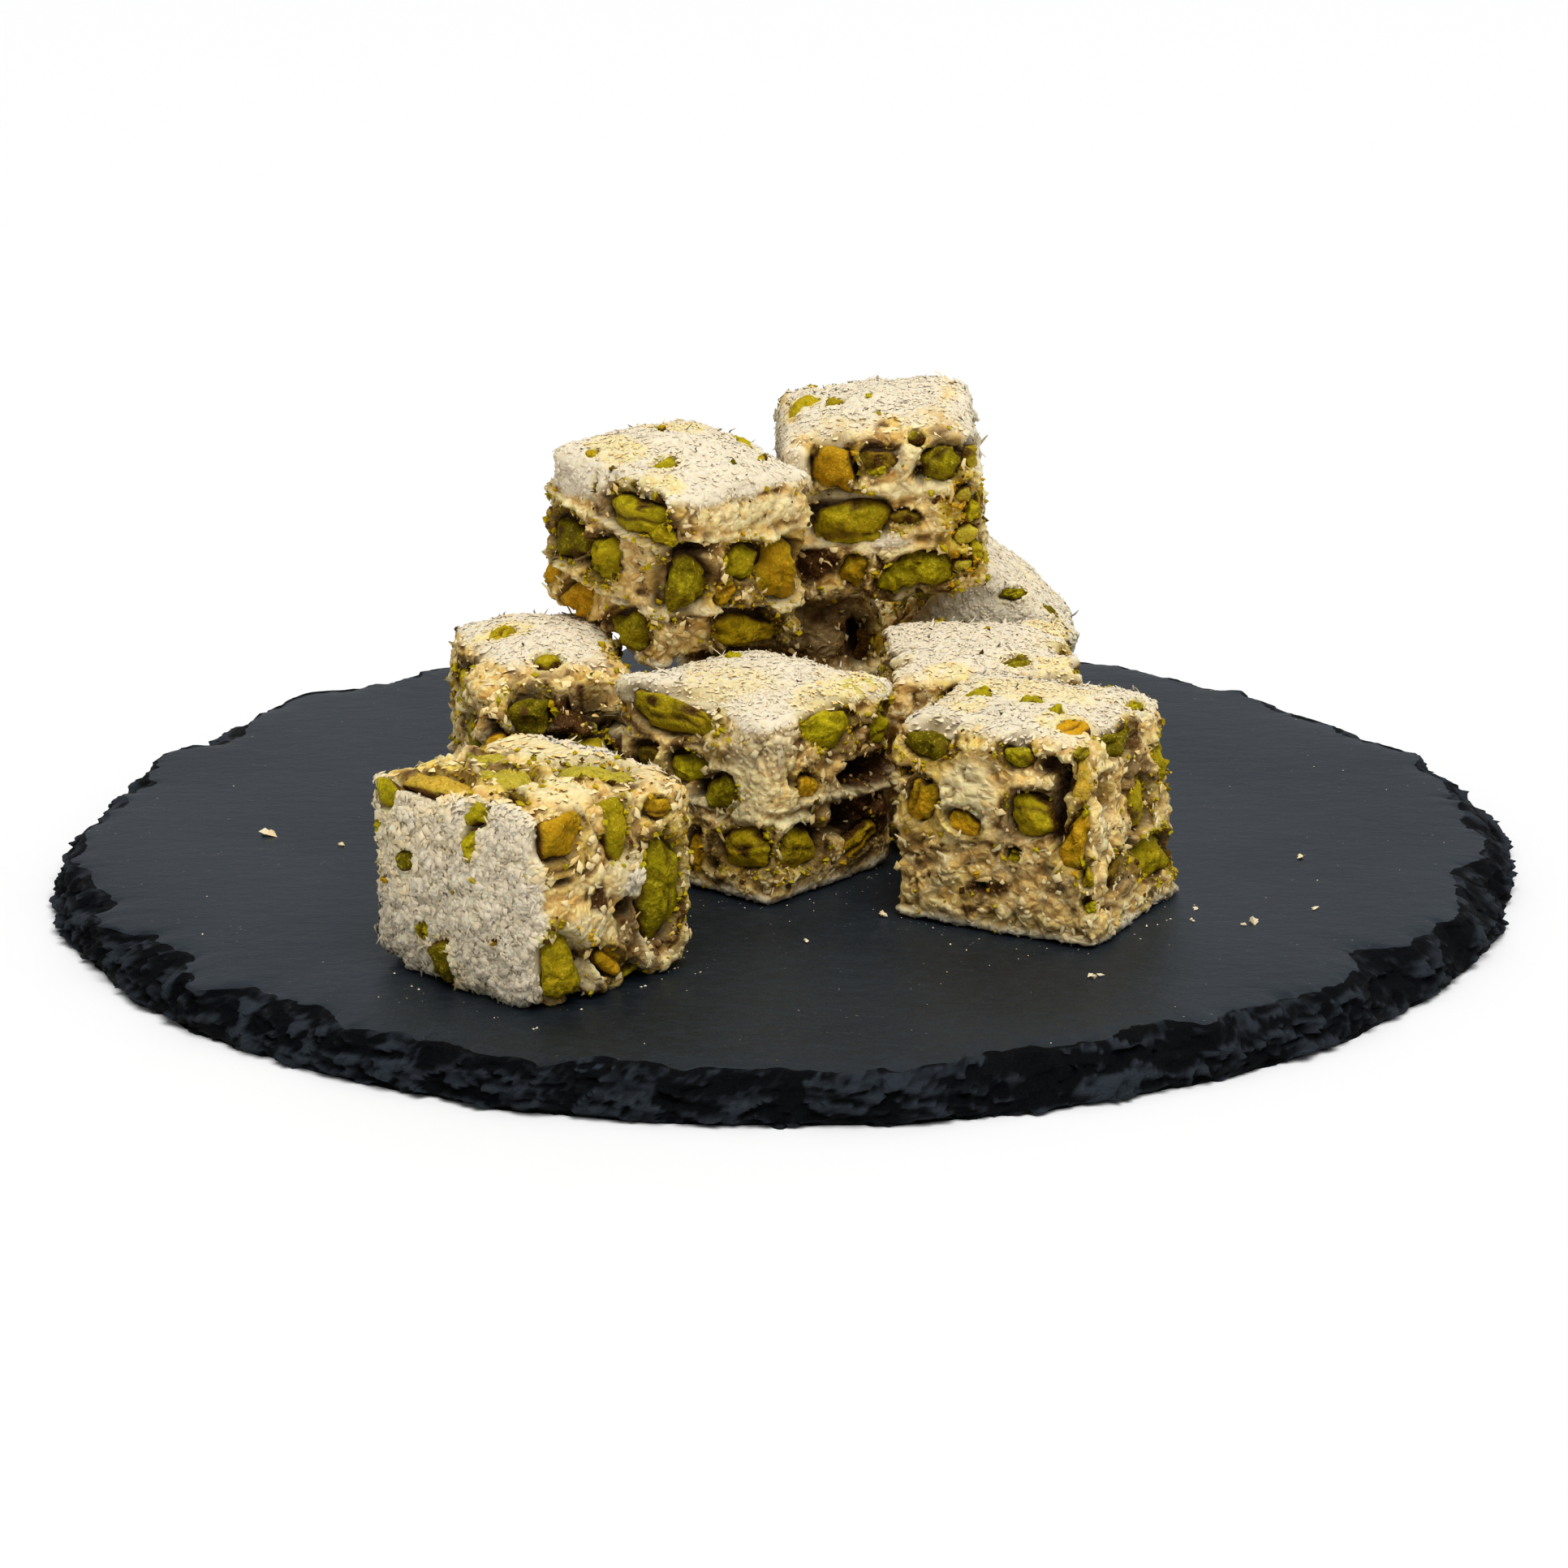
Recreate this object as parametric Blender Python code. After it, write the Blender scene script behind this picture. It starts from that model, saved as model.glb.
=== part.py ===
"""Pistachio and coconut Turkish delight, nine cut pieces heaped on a round slate board.

Metres, +Z up. The origin is on the table, under the middle of the board, and -Y is the front.
Every piece of the sweet is one solid, and so is the board.
"""
import math
import random

import bmesh
import bpy
from mathutils import Matrix, Vector, noise

MM = 0.001
TOUCH = 0.35 * MM               # what is left between two pieces that lie on each other

# The board: a disc of roofing slate with a hand-struck edge
BOARD_RADIUS = 110 * MM
BOARD_THICKNESS = 6.5 * MM
BOARD_STEPS = 168               # corners round the edge
BOARD_SWERVES = (               # where the outline leaves the circle: middle, width, by how much
    (163, 17, -2.6 * MM),
    (8, 14, 0.9 * MM),
    (-47, 12, 0.6 * MM),
)
UNDERCUT = 1.4 * MM             # how far the underside stands back from the widest line
BEVEL = 3.4 * MM                # how far the edge is struck back on top, between the big flakes
WIDE_BEVEL = (-42, 30, 2.2 * MM)    # more is struck off at the right front
FLAKES = 46                     # big flakes knocked off the top corner
FLAKE_DEPTH = (0.8 * MM, 4.6 * MM)
FLAKE_HALF_WIDTH = (2.0, 6.5)   # degrees round the board
SEAT = BOARD_THICKNESS + TOUCH  # what stands on the board starts here

# The sweet: a slab about as thick as the pieces are wide, cut into cubes
GRID_CUTS = 7                   # makes eight squares along each edge of a piece
EDGE_ROUND = 2.4 * MM
LUMP_SIZE = 7.5 * MM            # spacing of the lumps that the nuts push up
LUMP_HEIGHT = 0.75 * MM

SLATE_COLOUR = (0.030, 0.034, 0.040)
SWEET_COLOUR = (0.72, 0.64, 0.44)


def clear_scene():
    for old in list(bpy.data.objects):
        bpy.data.objects.remove(old)


def finish_material(name, colour, roughness):
    material = bpy.data.materials.new(name)
    material.use_nodes = True
    shader = material.node_tree.nodes["Principled BSDF"]
    shader.inputs["Base Color"].default_value = (*colour, 1)
    shader.inputs["Roughness"].default_value = roughness
    shader.inputs["Metallic"].default_value = 0
    return material


def add_object(name, form, material, crisp):
    """Turns the bmesh into a named object, with crisp corners where it turns by more degrees."""
    bmesh.ops.recalc_face_normals(form, faces=form.faces)
    mesh = bpy.data.meshes.new(name)
    form.to_mesh(mesh)
    form.free()
    mesh.materials.append(material)
    mesh.shade_smooth()
    mesh.set_sharp_from_angle(angle=math.radians(crisp))
    made = bpy.data.objects.new(name, mesh)
    bpy.context.scene.collection.objects.link(made)
    return made


# ---------------------------------------------------------------- the slate board


def struck_flakes():
    """Where the big flakes were knocked off: (angle, half width, depth), in radians and metres."""
    hand = random.Random(11)
    flakes = []
    for number in range(FLAKES):
        angle = 2 * math.pi * (number + hand.uniform(-0.4, 0.4)) / FLAKES
        half_width = math.radians(hand.uniform(*FLAKE_HALF_WIDTH))
        flakes.append((angle, half_width, hand.uniform(*FLAKE_DEPTH)))
    return flakes


def swell(angle, middle, width, amount):
    """A smooth bump round the board: its middle and width are in degrees."""
    off = math.remainder(angle - math.radians(middle), 2 * math.pi) / math.radians(width)
    return amount * math.exp(-off * off)


def board_edge(angle):
    """The widest line of the board: a circle that wanders by a millimetre or two, cut by eye."""
    slow = 0.35 * math.sin(3 * angle + 0.6) + 0.30 * math.sin(5 * angle + 2.1)
    quick = 0.28 * math.sin(13 * angle + 1.0) + 0.22 * math.sin(29 * angle)
    swerve = sum(swell(angle, *one) for one in BOARD_SWERVES)
    return BOARD_RADIUS + (slow + quick) * MM + swerve


def strike(angle, flakes):
    """How far the top corner stands back at this angle: the bevel plus the shell-shaped flakes."""
    depth = 0
    for middle, half_width, flake_depth in flakes:
        off = math.remainder(angle - middle, 2 * math.pi) / half_width
        if abs(off) < 1:
            depth = max(depth, flake_depth * math.sqrt(1 - off * off))
    return BEVEL * (0.75 + 0.25 * math.sin(17 * angle)) + depth + swell(angle, *WIDE_BEVEL)


def ring(form, angles, radii, heights):
    return [
        form.verts.new((radius * math.cos(a), radius * math.sin(a), height))
        for a, radius, height in zip(angles, radii, heights)
    ]


def cap(form, corners, height):
    """Closes a ring with a fan round the middle of the board."""
    middle = form.verts.new((0, 0, height))
    for first, second in zip(corners, corners[1:] + corners[:1]):
        form.faces.new((middle, first, second))


def slate_board(material):
    flakes = struck_flakes()
    angles = [2 * math.pi * step / BOARD_STEPS for step in range(BOARD_STEPS)]
    edge = [board_edge(a) for a in angles]
    struck = [strike(a, flakes) for a in angles]
    chatter = [0.5 * math.sin(41 * a) + 0.5 * math.sin(67 * a + 1.3) for a in angles]

    # (height as a share of the thickness, share of the strike, stand back, share of the chatter)
    levels = ((0.0, 0.0, UNDERCUT, 0.5), (0.2, 0.0, 0.0, 0.3), (0.45, 0.16, 0.1 * MM, 1.0),
              (0.72, 0.45, 0.0, -0.8), (1.0, 1.0, 0.0, 0.3))
    form = bmesh.new()
    rings = []
    for height_share, strike_share, stand_back, chatter_share in levels:
        flat = height_share in (0.0, 1.0)
        radii = [
            r - s * strike_share - stand_back - chatter_share * c * 0.35 * MM
            for r, s, c in zip(edge, struck, chatter)
        ]
        heights = [
            BOARD_THICKNESS * height_share + (0 if flat else 0.3 * MM * c) for c in chatter
        ]
        rings.append(ring(form, angles, radii, heights))
    for lower, upper in zip(rings, rings[1:]):
        bmesh.ops.bridge_loops(form, edges=closed_edges(form, lower) + closed_edges(form, upper))
    cap(form, rings[0], 0)
    cap(form, rings[-1], BOARD_THICKNESS)

    # The hand-cut outline isn't quite centred, so the board is moved to stand over the origin
    for axis in (0, 1):
        reach = [v.co[axis] for v in form.verts]
        middle = (min(reach) + max(reach)) / 2
        for v in form.verts:
            v.co[axis] -= middle
    return add_object("slate_board", form, material, crisp=12)


def closed_edges(form, corners):
    """The edges of a ring, made where they are missing."""
    edges = []
    for first, second in zip(corners, corners[1:] + corners[:1]):
        edges.append(form.edges.get((first, second)) or form.edges.new((first, second)))
    return edges


# ---------------------------------------------------------------- the pieces of Turkish delight


def cube_grid():
    """A cube from -1 to 1 with eight squares along each edge, closer together near the edges."""
    form = bmesh.new()
    bmesh.ops.create_cube(form, size=2)
    bmesh.ops.subdivide_edges(form, edges=form.edges, cuts=GRID_CUTS, use_grid_fill=True)
    for v in form.verts:
        v.co = Vector(math.sin(c * math.pi / 2) for c in v.co)
    return form


def rounded(point, half):
    """A point of the unit cube moved onto a box of these half sizes with round edges."""
    full = Vector(p * h for p, h in zip(point, half))
    core = Vector(max(-h + EDGE_ROUND, min(h - EDGE_ROUND, f)) for f, h in zip(full, half))
    out = full - core
    return core + out.normalized() * EDGE_ROUND if out.length > 0 else full


def sweet(name, material, at, size, turn=0, tilt=0, roll=0, tipped=False, crown=(1.5, 0),
          slope=0, skew=(0, 0), slump=0, belly=0, lift=0, sag=0, seed=0):
    """One cut piece.

    at is its middle and size its width, depth and slab thickness, all in millimetres. turn, tilt
    and roll are degrees about Z, X and Y, and a tipped piece stands on a cut side, so that its
    coconut faces point forward and back. crown is how far the coconut faces swell, above and
    below. slope raises the back of the top face and lift its left front corner, and sag lowers
    the right front corner of its foot. skew leans the piece, slump widens its foot and belly
    swells its cut sides, in millimetres.
    """
    half = Vector(s * MM / 2 for s in size)
    form = cube_grid()
    shift = Vector((seed * 1.7, seed * 2.3, seed * 3.1))
    for v in form.verts:
        x, y, z = v.co
        p = rounded(v.co, half)
        rise = crown[0] if z > 0 else crown[1]
        p.z += z * rise * MM * (1 - x * x) * (1 - y * y)
        p.z += slope * MM * y * max(z, 0) / 2
        p.z += lift * MM * max(z, 0) * ((1 - x) * (1 - y) / 4) ** 2
        p.z -= sag * MM * max(-z, 0) * ((1 + x) * (1 - y) / 4) ** 2
        p.xy += Vector(skew) * MM * z / 2
        p.xy *= 1 - slump * MM * z / half.x / 2
        p.xy += Vector((x, y)) * belly * MM * (1 - z * z) * (1 - x * x * y * y)
        out = Vector((x ** 3, y ** 3, z ** 3)).normalized()
        lump = noise.noise(p / LUMP_SIZE + shift) + 0.5 * noise.noise(2.1 * p / LUMP_SIZE - shift)
        v.co = p + out * lump * LUMP_HEIGHT

    pose = (
        Matrix.Translation(Vector(at) * MM)
        @ Matrix.Rotation(math.radians(roll), 4, "Y")
        @ Matrix.Rotation(math.radians(tilt), 4, "X")
        @ Matrix.Rotation(math.radians(turn), 4, "Z")
        @ Matrix.Rotation(math.radians(90 if tipped else 0), 4, "X")
    )
    for v in form.verts:
        placed = pose @ v.co
        placed.z = max(placed.z, SEAT)      # a soft piece sits flat on the board
        v.co = pose.inverted() @ placed
    piece = add_object(name, form, material, crisp=40)
    piece.location = pose.translation
    piece.rotation_euler = pose.to_euler()
    return piece


def heap(material):
    """The pieces as they lie: two in front, five behind them and two on top."""
    sweet("lokum_front_left", material, at=(-34.8, -66.4, 19.9), size=(32.5, 26.8, 29), turn=-43,
          tipped=True, crown=(0.8, 0.6), skew=(0.5, 0.5), belly=0.5, seed=1)
    sweet("lokum_front_right", material, at=(34.2, -40.8, 20.6), size=(30.8, 30, 28.4), turn=-29,
          crown=(1.6, 0), slope=1.0, skew=(-2.0, 0.5), slump=1.6, belly=-0.4, seed=2)
    sweet("lokum_middle", material, at=(-5.2, -24.4, 20.2), size=(29.4, 28.2, 27.6), turn=-40,
          crown=(1.8, 0), slope=1.0, skew=(0.5, 0), belly=0.5, lift=2.6, seed=3)
    sweet("lokum_left", material, at=(-37.3, -8.6, 20.2), size=(24.2, 30, 27.4), turn=12,
          crown=(3.2, 0), slope=5.2, skew=(0.5, 1.0), belly=0.3, seed=4)
    sweet("lokum_right", material, at=(28.2, -4.4, 20.4), size=(28.6, 28, 27.4), turn=3,
          crown=(1.6, 0), slope=1.5, belly=0.3, seed=5)
    sweet("lokum_back", material, at=(-2.2, 29.5, 21.2), size=(30.6, 28, 29.2), turn=2,
          crown=(1.6, 0), belly=0.3, seed=6)
    sweet("lokum_leaning", material, at=(29.6, 50.5, 23.4), size=(24.5, 24, 28), turn=4, roll=40,
          tipped=True, crown=(1.0, 1.0), seed=7)
    sweet("lokum_top_left", material, at=(-17.6, 6.3, 48.9), size=(28.2, 29.0, 24.8), turn=-45,
          tilt=7, roll=6, crown=(3.6, 1.0), belly=0.9, sag=2.6, seed=8)
    sweet("lokum_top_right", material, at=(14, 25, 51.8), size=(29.5, 28, 26.2), turn=1,
          tilt=6, roll=-4, crown=(2.6, 0.8), slope=1.5, skew=(-1.0, 0), belly=0.4, seed=9)


def build():
    clear_scene()
    slate_board(finish_material("slate", SLATE_COLOUR, 0.55))
    heap(finish_material("lokum", SWEET_COLOUR, 0.75))


build()
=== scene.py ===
"""The looks of nine pieces of pistachio and coconut Turkish delight on a round slate board."""
import copy
import itertools
import math

import bpy
import numpy as np
from mathutils import Euler, Matrix, Vector
from mathutils.bvhtree import BVHTree


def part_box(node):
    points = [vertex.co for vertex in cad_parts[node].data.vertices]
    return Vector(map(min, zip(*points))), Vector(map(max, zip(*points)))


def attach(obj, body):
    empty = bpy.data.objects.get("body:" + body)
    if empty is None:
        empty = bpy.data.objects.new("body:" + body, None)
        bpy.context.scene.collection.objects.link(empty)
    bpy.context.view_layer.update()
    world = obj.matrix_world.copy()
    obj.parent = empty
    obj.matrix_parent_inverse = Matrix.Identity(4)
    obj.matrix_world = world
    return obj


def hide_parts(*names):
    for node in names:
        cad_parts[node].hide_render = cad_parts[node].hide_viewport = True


MM = 0.001

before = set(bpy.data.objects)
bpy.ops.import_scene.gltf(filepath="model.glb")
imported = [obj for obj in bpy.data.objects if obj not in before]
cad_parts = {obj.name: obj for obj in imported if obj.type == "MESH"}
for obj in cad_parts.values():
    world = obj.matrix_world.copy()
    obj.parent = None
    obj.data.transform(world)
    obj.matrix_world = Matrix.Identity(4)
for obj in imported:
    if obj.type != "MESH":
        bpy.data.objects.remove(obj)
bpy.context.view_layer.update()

# ================================================================== the slate board
# A disc of roofing slate, split along its grain and cut by striking flakes off its rim with a
# hammer, so the faces are flat and finely rippled and the rim is all shell-shaped scars.
# It is rubbed with oil, which makes the face satin and nearly black, and stone dust clings to it.


class Value:
    """A number in a shader. Arithmetic on it adds Math nodes."""

    def __init__(self, paint, socket):
        self.paint = paint
        self.socket = socket

    def math(self, operation, first, second):
        return self.paint.add("Math", {"operation": operation}, {0: first, 1: second})

    def __add__(self, other):
        return self.math("ADD", self, other)

    def __sub__(self, other):
        return self.math("SUBTRACT", self, other)

    def __rsub__(self, other):
        return self.math("SUBTRACT", other, self)

    def __mul__(self, other):
        return self.math("MULTIPLY", self, other)

    def most(self, other):
        return self.math("MAXIMUM", self, other)

    def between(self, low, high):
        """0 below low, 1 above high and smooth between them. low may be the larger one."""
        limits = {"Value": self, "From Min": low, "From Max": high}
        return self.paint.add("MapRange", {"interpolation_type": "SMOOTHSTEP"}, limits)

    __radd__ = __add__
    __rmul__ = __mul__


class Paint:
    """One procedural material, whose patterns are measured in millimetres of the real thing."""

    def __init__(self, name, **constants):
        self.material = bpy.data.materials.new(name)
        self.material.use_nodes = True
        self.tree = self.material.node_tree
        self.shader = self.tree.nodes["Principled BSDF"]
        self.place = self.add("TexCoord", {}, {}, "Object")
        for socket, value in constants.items():
            self.shader.inputs[socket.replace("_", " ")].default_value = value

    def put(self, socket, value):
        if isinstance(value, Value):
            self.tree.links.new(value.socket, socket)
        elif socket.type == "RGBA":
            socket.default_value = (*value, 1)
        else:
            socket.default_value = value

    def add(self, kind, settings, sockets, output=0):
        node = self.tree.nodes.new("ShaderNode" + kind)
        for name, value in settings.items():
            setattr(node, name, value)
        for name, value in sockets.items():
            self.put(node.inputs[name], value)
        return Value(self, node.outputs[output])

    def mask(self, name):
        """A number that the mesh carries at each of its corners."""
        return self.add("Attribute", {"attribute_name": name}, {}, "Fac")

    def stretched(self, along):
        """The place on the object, squeezed along each axis by these factors."""
        scaled = {0: self.place, 1: along}
        return self.add("VectorMath", {"operation": "MULTIPLY"}, scaled)

    def pushed(self, size, by, along=(1, 1, 1)):
        """The place on the object, pushed about by up to this many millimetres, then stretched."""
        sockets = {"Vector": self.place, "Scale": 1 / (size * MM), "Detail": 2}
        push = self.add("TexNoise", {}, sockets, "Color")
        push = self.add("VectorMath", {"operation": "SUBTRACT"}, {0: push, 1: (0.5, 0.5, 0.5)})
        push = self.add("VectorMath", {"operation": "SCALE"}, {0: push, "Scale": 2 * by * MM})
        moved = self.add("VectorMath", {"operation": "ADD"}, {0: self.place, 1: push})
        return self.add("VectorMath", {"operation": "MULTIPLY"}, {0: moved, 1: along})

    def noise(self, size, detail=3, rough=0.5, place=None):
        sockets = {"Vector": place or self.place, "Scale": 1 / (size * MM), "Detail": detail,
                   "Roughness": rough}
        return self.add("TexNoise", {}, sockets, "Fac")

    def cells(self, size, feature="F1", place=None, output="Distance"):
        sockets = {"Vector": place or self.place, "Scale": 1 / (size * MM)}
        return self.add("TexVoronoi", {"feature": feature}, sockets, output)

    def cell_tones(self, size, place, channel=0):
        """A number from 0 to 1 for each cell."""
        colours = self.cells(size, place=place, output="Color")
        return self.add("SeparateColor", {}, {0: colours}, channel)

    def mix(self, share, first, second):
        return self.add("Mix", {"data_type": "RGBA"}, {0: share, 6: first, 7: second}, 2)

    def over(self, colour, *layers):
        """A colour with others laid over it in turn, each as strong as its mask."""
        for mask, layer in layers:
            colour = self.mix(mask, colour, layer)
        return colour

    def bump(self, height, distance):
        sockets = {"Strength": 1.0, "Distance": distance * MM, "Height": height}
        return self.add("Bump", {}, sockets, "Normal")

    def finish(self, **links):
        for socket, value in links.items():
            self.put(self.shader.inputs[socket.replace("_", " ")], value)
        return self.material


def scramble(cells, seed):
    """The same number from 0 to 1 each time for each whole-numbered cell."""
    x, y, z = (cells[:, i].astype(np.int64) for i in range(3))
    mixed = (x * 73856093) ^ (y * 19349663) ^ (z * 83492791) ^ (seed * 2654435761)
    mixed = ((mixed ^ (mixed >> 13)) * 1274126177) & 0x7FFFFFFF
    mixed = ((mixed ^ (mixed >> 15)) * 668265263) & 0x7FFFFFFF
    return mixed / 0x7FFFFFFF


def bumps(points, size, seed):
    """Smooth noise from -1 to 1 at each point, with bumps of about this size."""
    cell = points / size + 31.7     # any shift, so that no cell wall runs through the middle
    base = np.floor(cell)
    part = cell - base
    part = part * part * (3 - 2 * part)
    total = np.zeros(len(points))
    for corner in itertools.product((0, 1), repeat=3):
        weight = np.prod(np.where(corner, part, 1 - part), axis=1)
        total += weight * scramble(base + corner, seed)
    return total * 2 - 1


FAR_OFF = 9.0                   # farther than any middle of a neighbouring grain, in grains


def grains_near(points, size, seed, shift, numbers):
    """For each grain near every point: the way there from its middle, and its own numbers."""
    cell = points / size + shift
    base = np.floor(cell)
    for step in itertools.product((-1, 0, 1), repeat=3):
        corner = base + step
        own = np.stack([scramble(corner, seed + i) for i in range(numbers)], axis=1)
        yield cell - corner - own[:, :3], own


def pebbles(points, size, seed):
    """How far each point is from the middle of its grain: 0 there and about 1 between grains."""
    nearest = np.full(len(points), FAR_OFF)
    for off, _ in grains_near(points, size, seed, 57.3, 3):
        nearest = np.minimum(nearest, np.linalg.norm(off, axis=1))
    return nearest


def facets(points, size, seed):
    """A broken surface of flat tilted chips of about this size, from about -1 to 1."""
    nearest = np.full(len(points), FAR_OFF)
    plane = np.zeros(len(points))
    for off, own in grains_near(points, size, seed, 83.1, 6):
        far = np.linalg.norm(off, axis=1)
        tilted = ((own[:, 3:] - 0.5) * off).sum(1) * 2.6 + (own[:, 3] + own[:, 4] - 1) * 0.8
        plane = np.where(far < nearest, tilted, plane)
        nearest = np.minimum(nearest, far)
    return plane


def build_mesh(name, points, faces, smooth=True, normals=None, **masks):
    """A mesh from arrays of points and of faces with equally many corners, with its masks."""
    mesh = bpy.data.meshes.new(name)
    corners = faces.shape[1]
    mesh.vertices.add(len(points))
    mesh.vertices.foreach_set("co", np.asarray(points, np.float32).ravel())
    mesh.loops.add(faces.size)
    mesh.loops.foreach_set("vertex_index", faces.ravel().astype(np.int32))
    mesh.polygons.add(len(faces))
    mesh.polygons.foreach_set("loop_start", np.arange(len(faces), dtype=np.int32) * corners)
    mesh.polygons.foreach_set("use_smooth", np.full(len(faces), smooth))
    mesh.update(calc_edges=True)
    mesh.validate()
    for mask, values in masks.items():
        layer = mesh.attributes.new(mask, "FLOAT", "POINT")
        layer.data.foreach_set("value", np.asarray(values, np.float32))
    if normals is not None:
        mesh.normals_split_custom_set_from_vertices(normals.tolist())
    return mesh


def new_object(name, data):
    thing = bpy.data.objects.new(name, data)
    bpy.context.scene.collection.objects.link(thing)
    return thing


def add_piece(name, mesh, material, stands_for=None):
    mesh.materials.append(material)
    piece = new_object(name, mesh)
    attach(piece, "root")
    if stands_for:
        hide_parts(stands_for)


def grid_faces(rows, columns):
    """The squares of a sheet of rows by columns of points that closes round in its columns."""
    row, column = np.meshgrid(np.arange(rows - 1), np.arange(columns), indexing="ij")
    here = row * columns + column
    beside = row * columns + (column + 1) % columns
    quads = np.stack([here, beside, beside + columns, here + columns], axis=-1)
    return quads.reshape(-1, 4)


RIM_STEPS = 1200                # points round the board
RIM_ROWS = 18                   # points up its rim
# how far in from the rim to the middle each ring of points on its faces is
TOP_RINGS = (0.012, 0.04, 0.12, 0.25, 0.4, 0.55, 0.7, 0.85, 1.0)
FOOT_RINGS = (0.12, 1.0)
TO_MIDDLE = 0.998               # the last ring stops just short of a point
SCARS = ((7.5, 0.75), (3.4, 0.60), (1.7, 0.30))     # width and depth of the scars on the rim
SCARS_SET_BACK = 0.6            # how deep the scars lie on average, in millimetres
RIM_OUT = 0.0004                # how far outside its solid the unbroken rim stood, in metres
LAYERS = 3.6                    # layers of stone that show as steps on the rim
SMALL_CHIPS = 230               # chips off the top corner, between the big ones


def board_section(board, angles, thickness):
    """The radius of the board's solid in each direction, at several heights."""
    places = [vertex.co for vertex in board.vertices]
    tree = BVHTree.FromPolygons(places, [polygon.vertices for polygon in board.polygons])
    radii = []
    for height in np.linspace(0.02, 0.98, RIM_ROWS) * thickness:
        line = []
        for angle in angles:
            outward = Vector((math.cos(angle), math.sin(angle), 0))
            start = outward * 0.2 + Vector((0, 0, height))
            line.append(tree.ray_cast(start, -outward)[0].xy.length)
        radii.append(line)
    return np.array(radii)


def chipped(angles, hand):
    """How far the small chips set the top corner back in each direction, in millimetres."""
    depth = np.zeros(len(angles))
    for _ in range(SMALL_CHIPS):
        middle = hand.uniform(0, 2 * math.pi)
        width = math.radians(hand.uniform(0.5, 2.4))
        off = ((angles - middle + math.pi) % (2 * math.pi) - math.pi) / width
        bite = hand.uniform(0.3, 1.7) * np.sqrt(np.clip(1 - off * off, 0, 1))
        depth = np.maximum(depth, bite)
    return depth


def slate_mesh():
    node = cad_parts["slate_board"].data
    low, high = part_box("slate_board")
    thickness = high.z - low.z
    hand = np.random.default_rng(5)
    angles = np.linspace(0, 2 * math.pi, RIM_STEPS, endpoint=False)
    radii = board_section(node, angles, thickness)
    outward = np.stack([np.cos(angles), np.sin(angles), np.zeros(RIM_STEPS)], axis=1)
    chips = chipped(angles, hand) * MM

    rings = []
    scar_depth = []
    for row, share in enumerate(np.linspace(0, 1, RIM_ROWS)):
        radius = radii[row] - chips * share ** 2.5
        points = outward * radius[:, None]
        points[:, 2] = share * thickness
        relief = np.full(RIM_STEPS, -SCARS_SET_BACK)
        squeezed = points / MM * (1, 1, 2.2)
        squeezed += bumps(squeezed, 3, 3)[:, None] * 0.6
        for number, (width, depth) in enumerate(SCARS):
            relief += depth * facets(squeezed, width, 40 + 10 * number)
        layer = share * LAYERS + 1.3 * bumps(points / MM, 16, 9) + 0.3 * bumps(points / MM, 4, 10)
        relief += 0.55 * (layer % 1 - 0.5)
        ends = 0.35 + 0.65 * math.sin(math.pi * min(share * 1.15, 1)) ** 0.5
        points += outward * (relief * ends * MM + RIM_OUT)[:, None]
        if 0 < row < RIM_ROWS - 1:
            points[:, 2] += 0.35 * bumps(points / MM, 3.0, 12) * MM
        rings.append(points)
        scar_depth.append(-relief)

    # both faces run in from the rim to the middle
    top_edge, foot_edge = rings[-1], rings[0]
    top, foot = [], []
    for share in TOP_RINGS:
        ring = top_edge * (1 - TO_MIDDLE * share)
        near_rim = np.exp(-share * 40)
        ring[:, 2] = thickness + (0.15 * bumps(ring / MM, 30, 22) - 0.30 * near_rim) * MM
        top.append(ring)
    for share in FOOT_RINGS:
        ring = foot_edge * (1 - TO_MIDDLE * share)
        ring[:, 2] = 0
        foot.append(ring)
    top_edge[:, 2] = thickness - (0.35 + 0.35 * bumps(top_edge / MM, 2.5, 23)) * MM
    rows = foot[::-1] + rings + top
    points = np.concatenate(rows)
    scars = np.zeros((len(rows), RIM_STEPS))
    scars[len(foot):len(foot) + RIM_ROWS] = np.array(scar_depth) - SCARS_SET_BACK
    squares = grid_faces(len(rows), RIM_STEPS)
    mesh = build_mesh("slate_board_struck", points, squares, scars=scars.ravel())
    row = squares[:, 0] // RIM_STEPS
    struck = (row >= len(foot)) & (row < len(foot) + RIM_ROWS - 1)
    mesh.polygons.foreach_set("material_index", struck.astype(np.int32))
    return mesh


def slate_face_paint():
    """Split faces rubbed with oil: satin, with the grain running from side to side."""
    blue = (0.78, 0.90, 1.0, 1)
    paint = Paint("oiled_slate", IOR=1.5, Specular_IOR_Level=0.5, Specular_Tint=blue)
    grain = paint.noise(1.0, 4, 0.6, paint.stretched((0.5, 1, 1)))
    cloud = paint.noise(38, 3, 0.55)
    fine = paint.noise(0.35, 2, 0.7)
    dust = paint.cells(1.5).between(0.13, 0.05) * paint.noise(5, 2).between(0.55, 0.72)
    dust = dust.most(paint.cells(0.8).between(0.16, 0.07) * paint.noise(9, 2).between(0.58, 0.75))
    colour = paint.over(
        paint.mix(cloud.between(0.3, 0.7), (0.010, 0.015, 0.021), (0.019, 0.026, 0.034)),
        (grain.between(0.42, 0.72) * 0.45, (0.028, 0.038, 0.050)),
        (dust * 0.55, (0.42, 0.43, 0.43)),
    )
    ripple = paint.noise(3.5, 3, 0.6, paint.stretched((0.55, 1, 1)))
    height = grain * 0.5 + fine * 0.22 + ripple * 0.9
    roughness = grain * 0.16 + fine * 0.10 + 0.31
    return paint.finish(Base_Color=colour, Roughness=roughness, Normal=paint.bump(height, 0.22))


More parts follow.
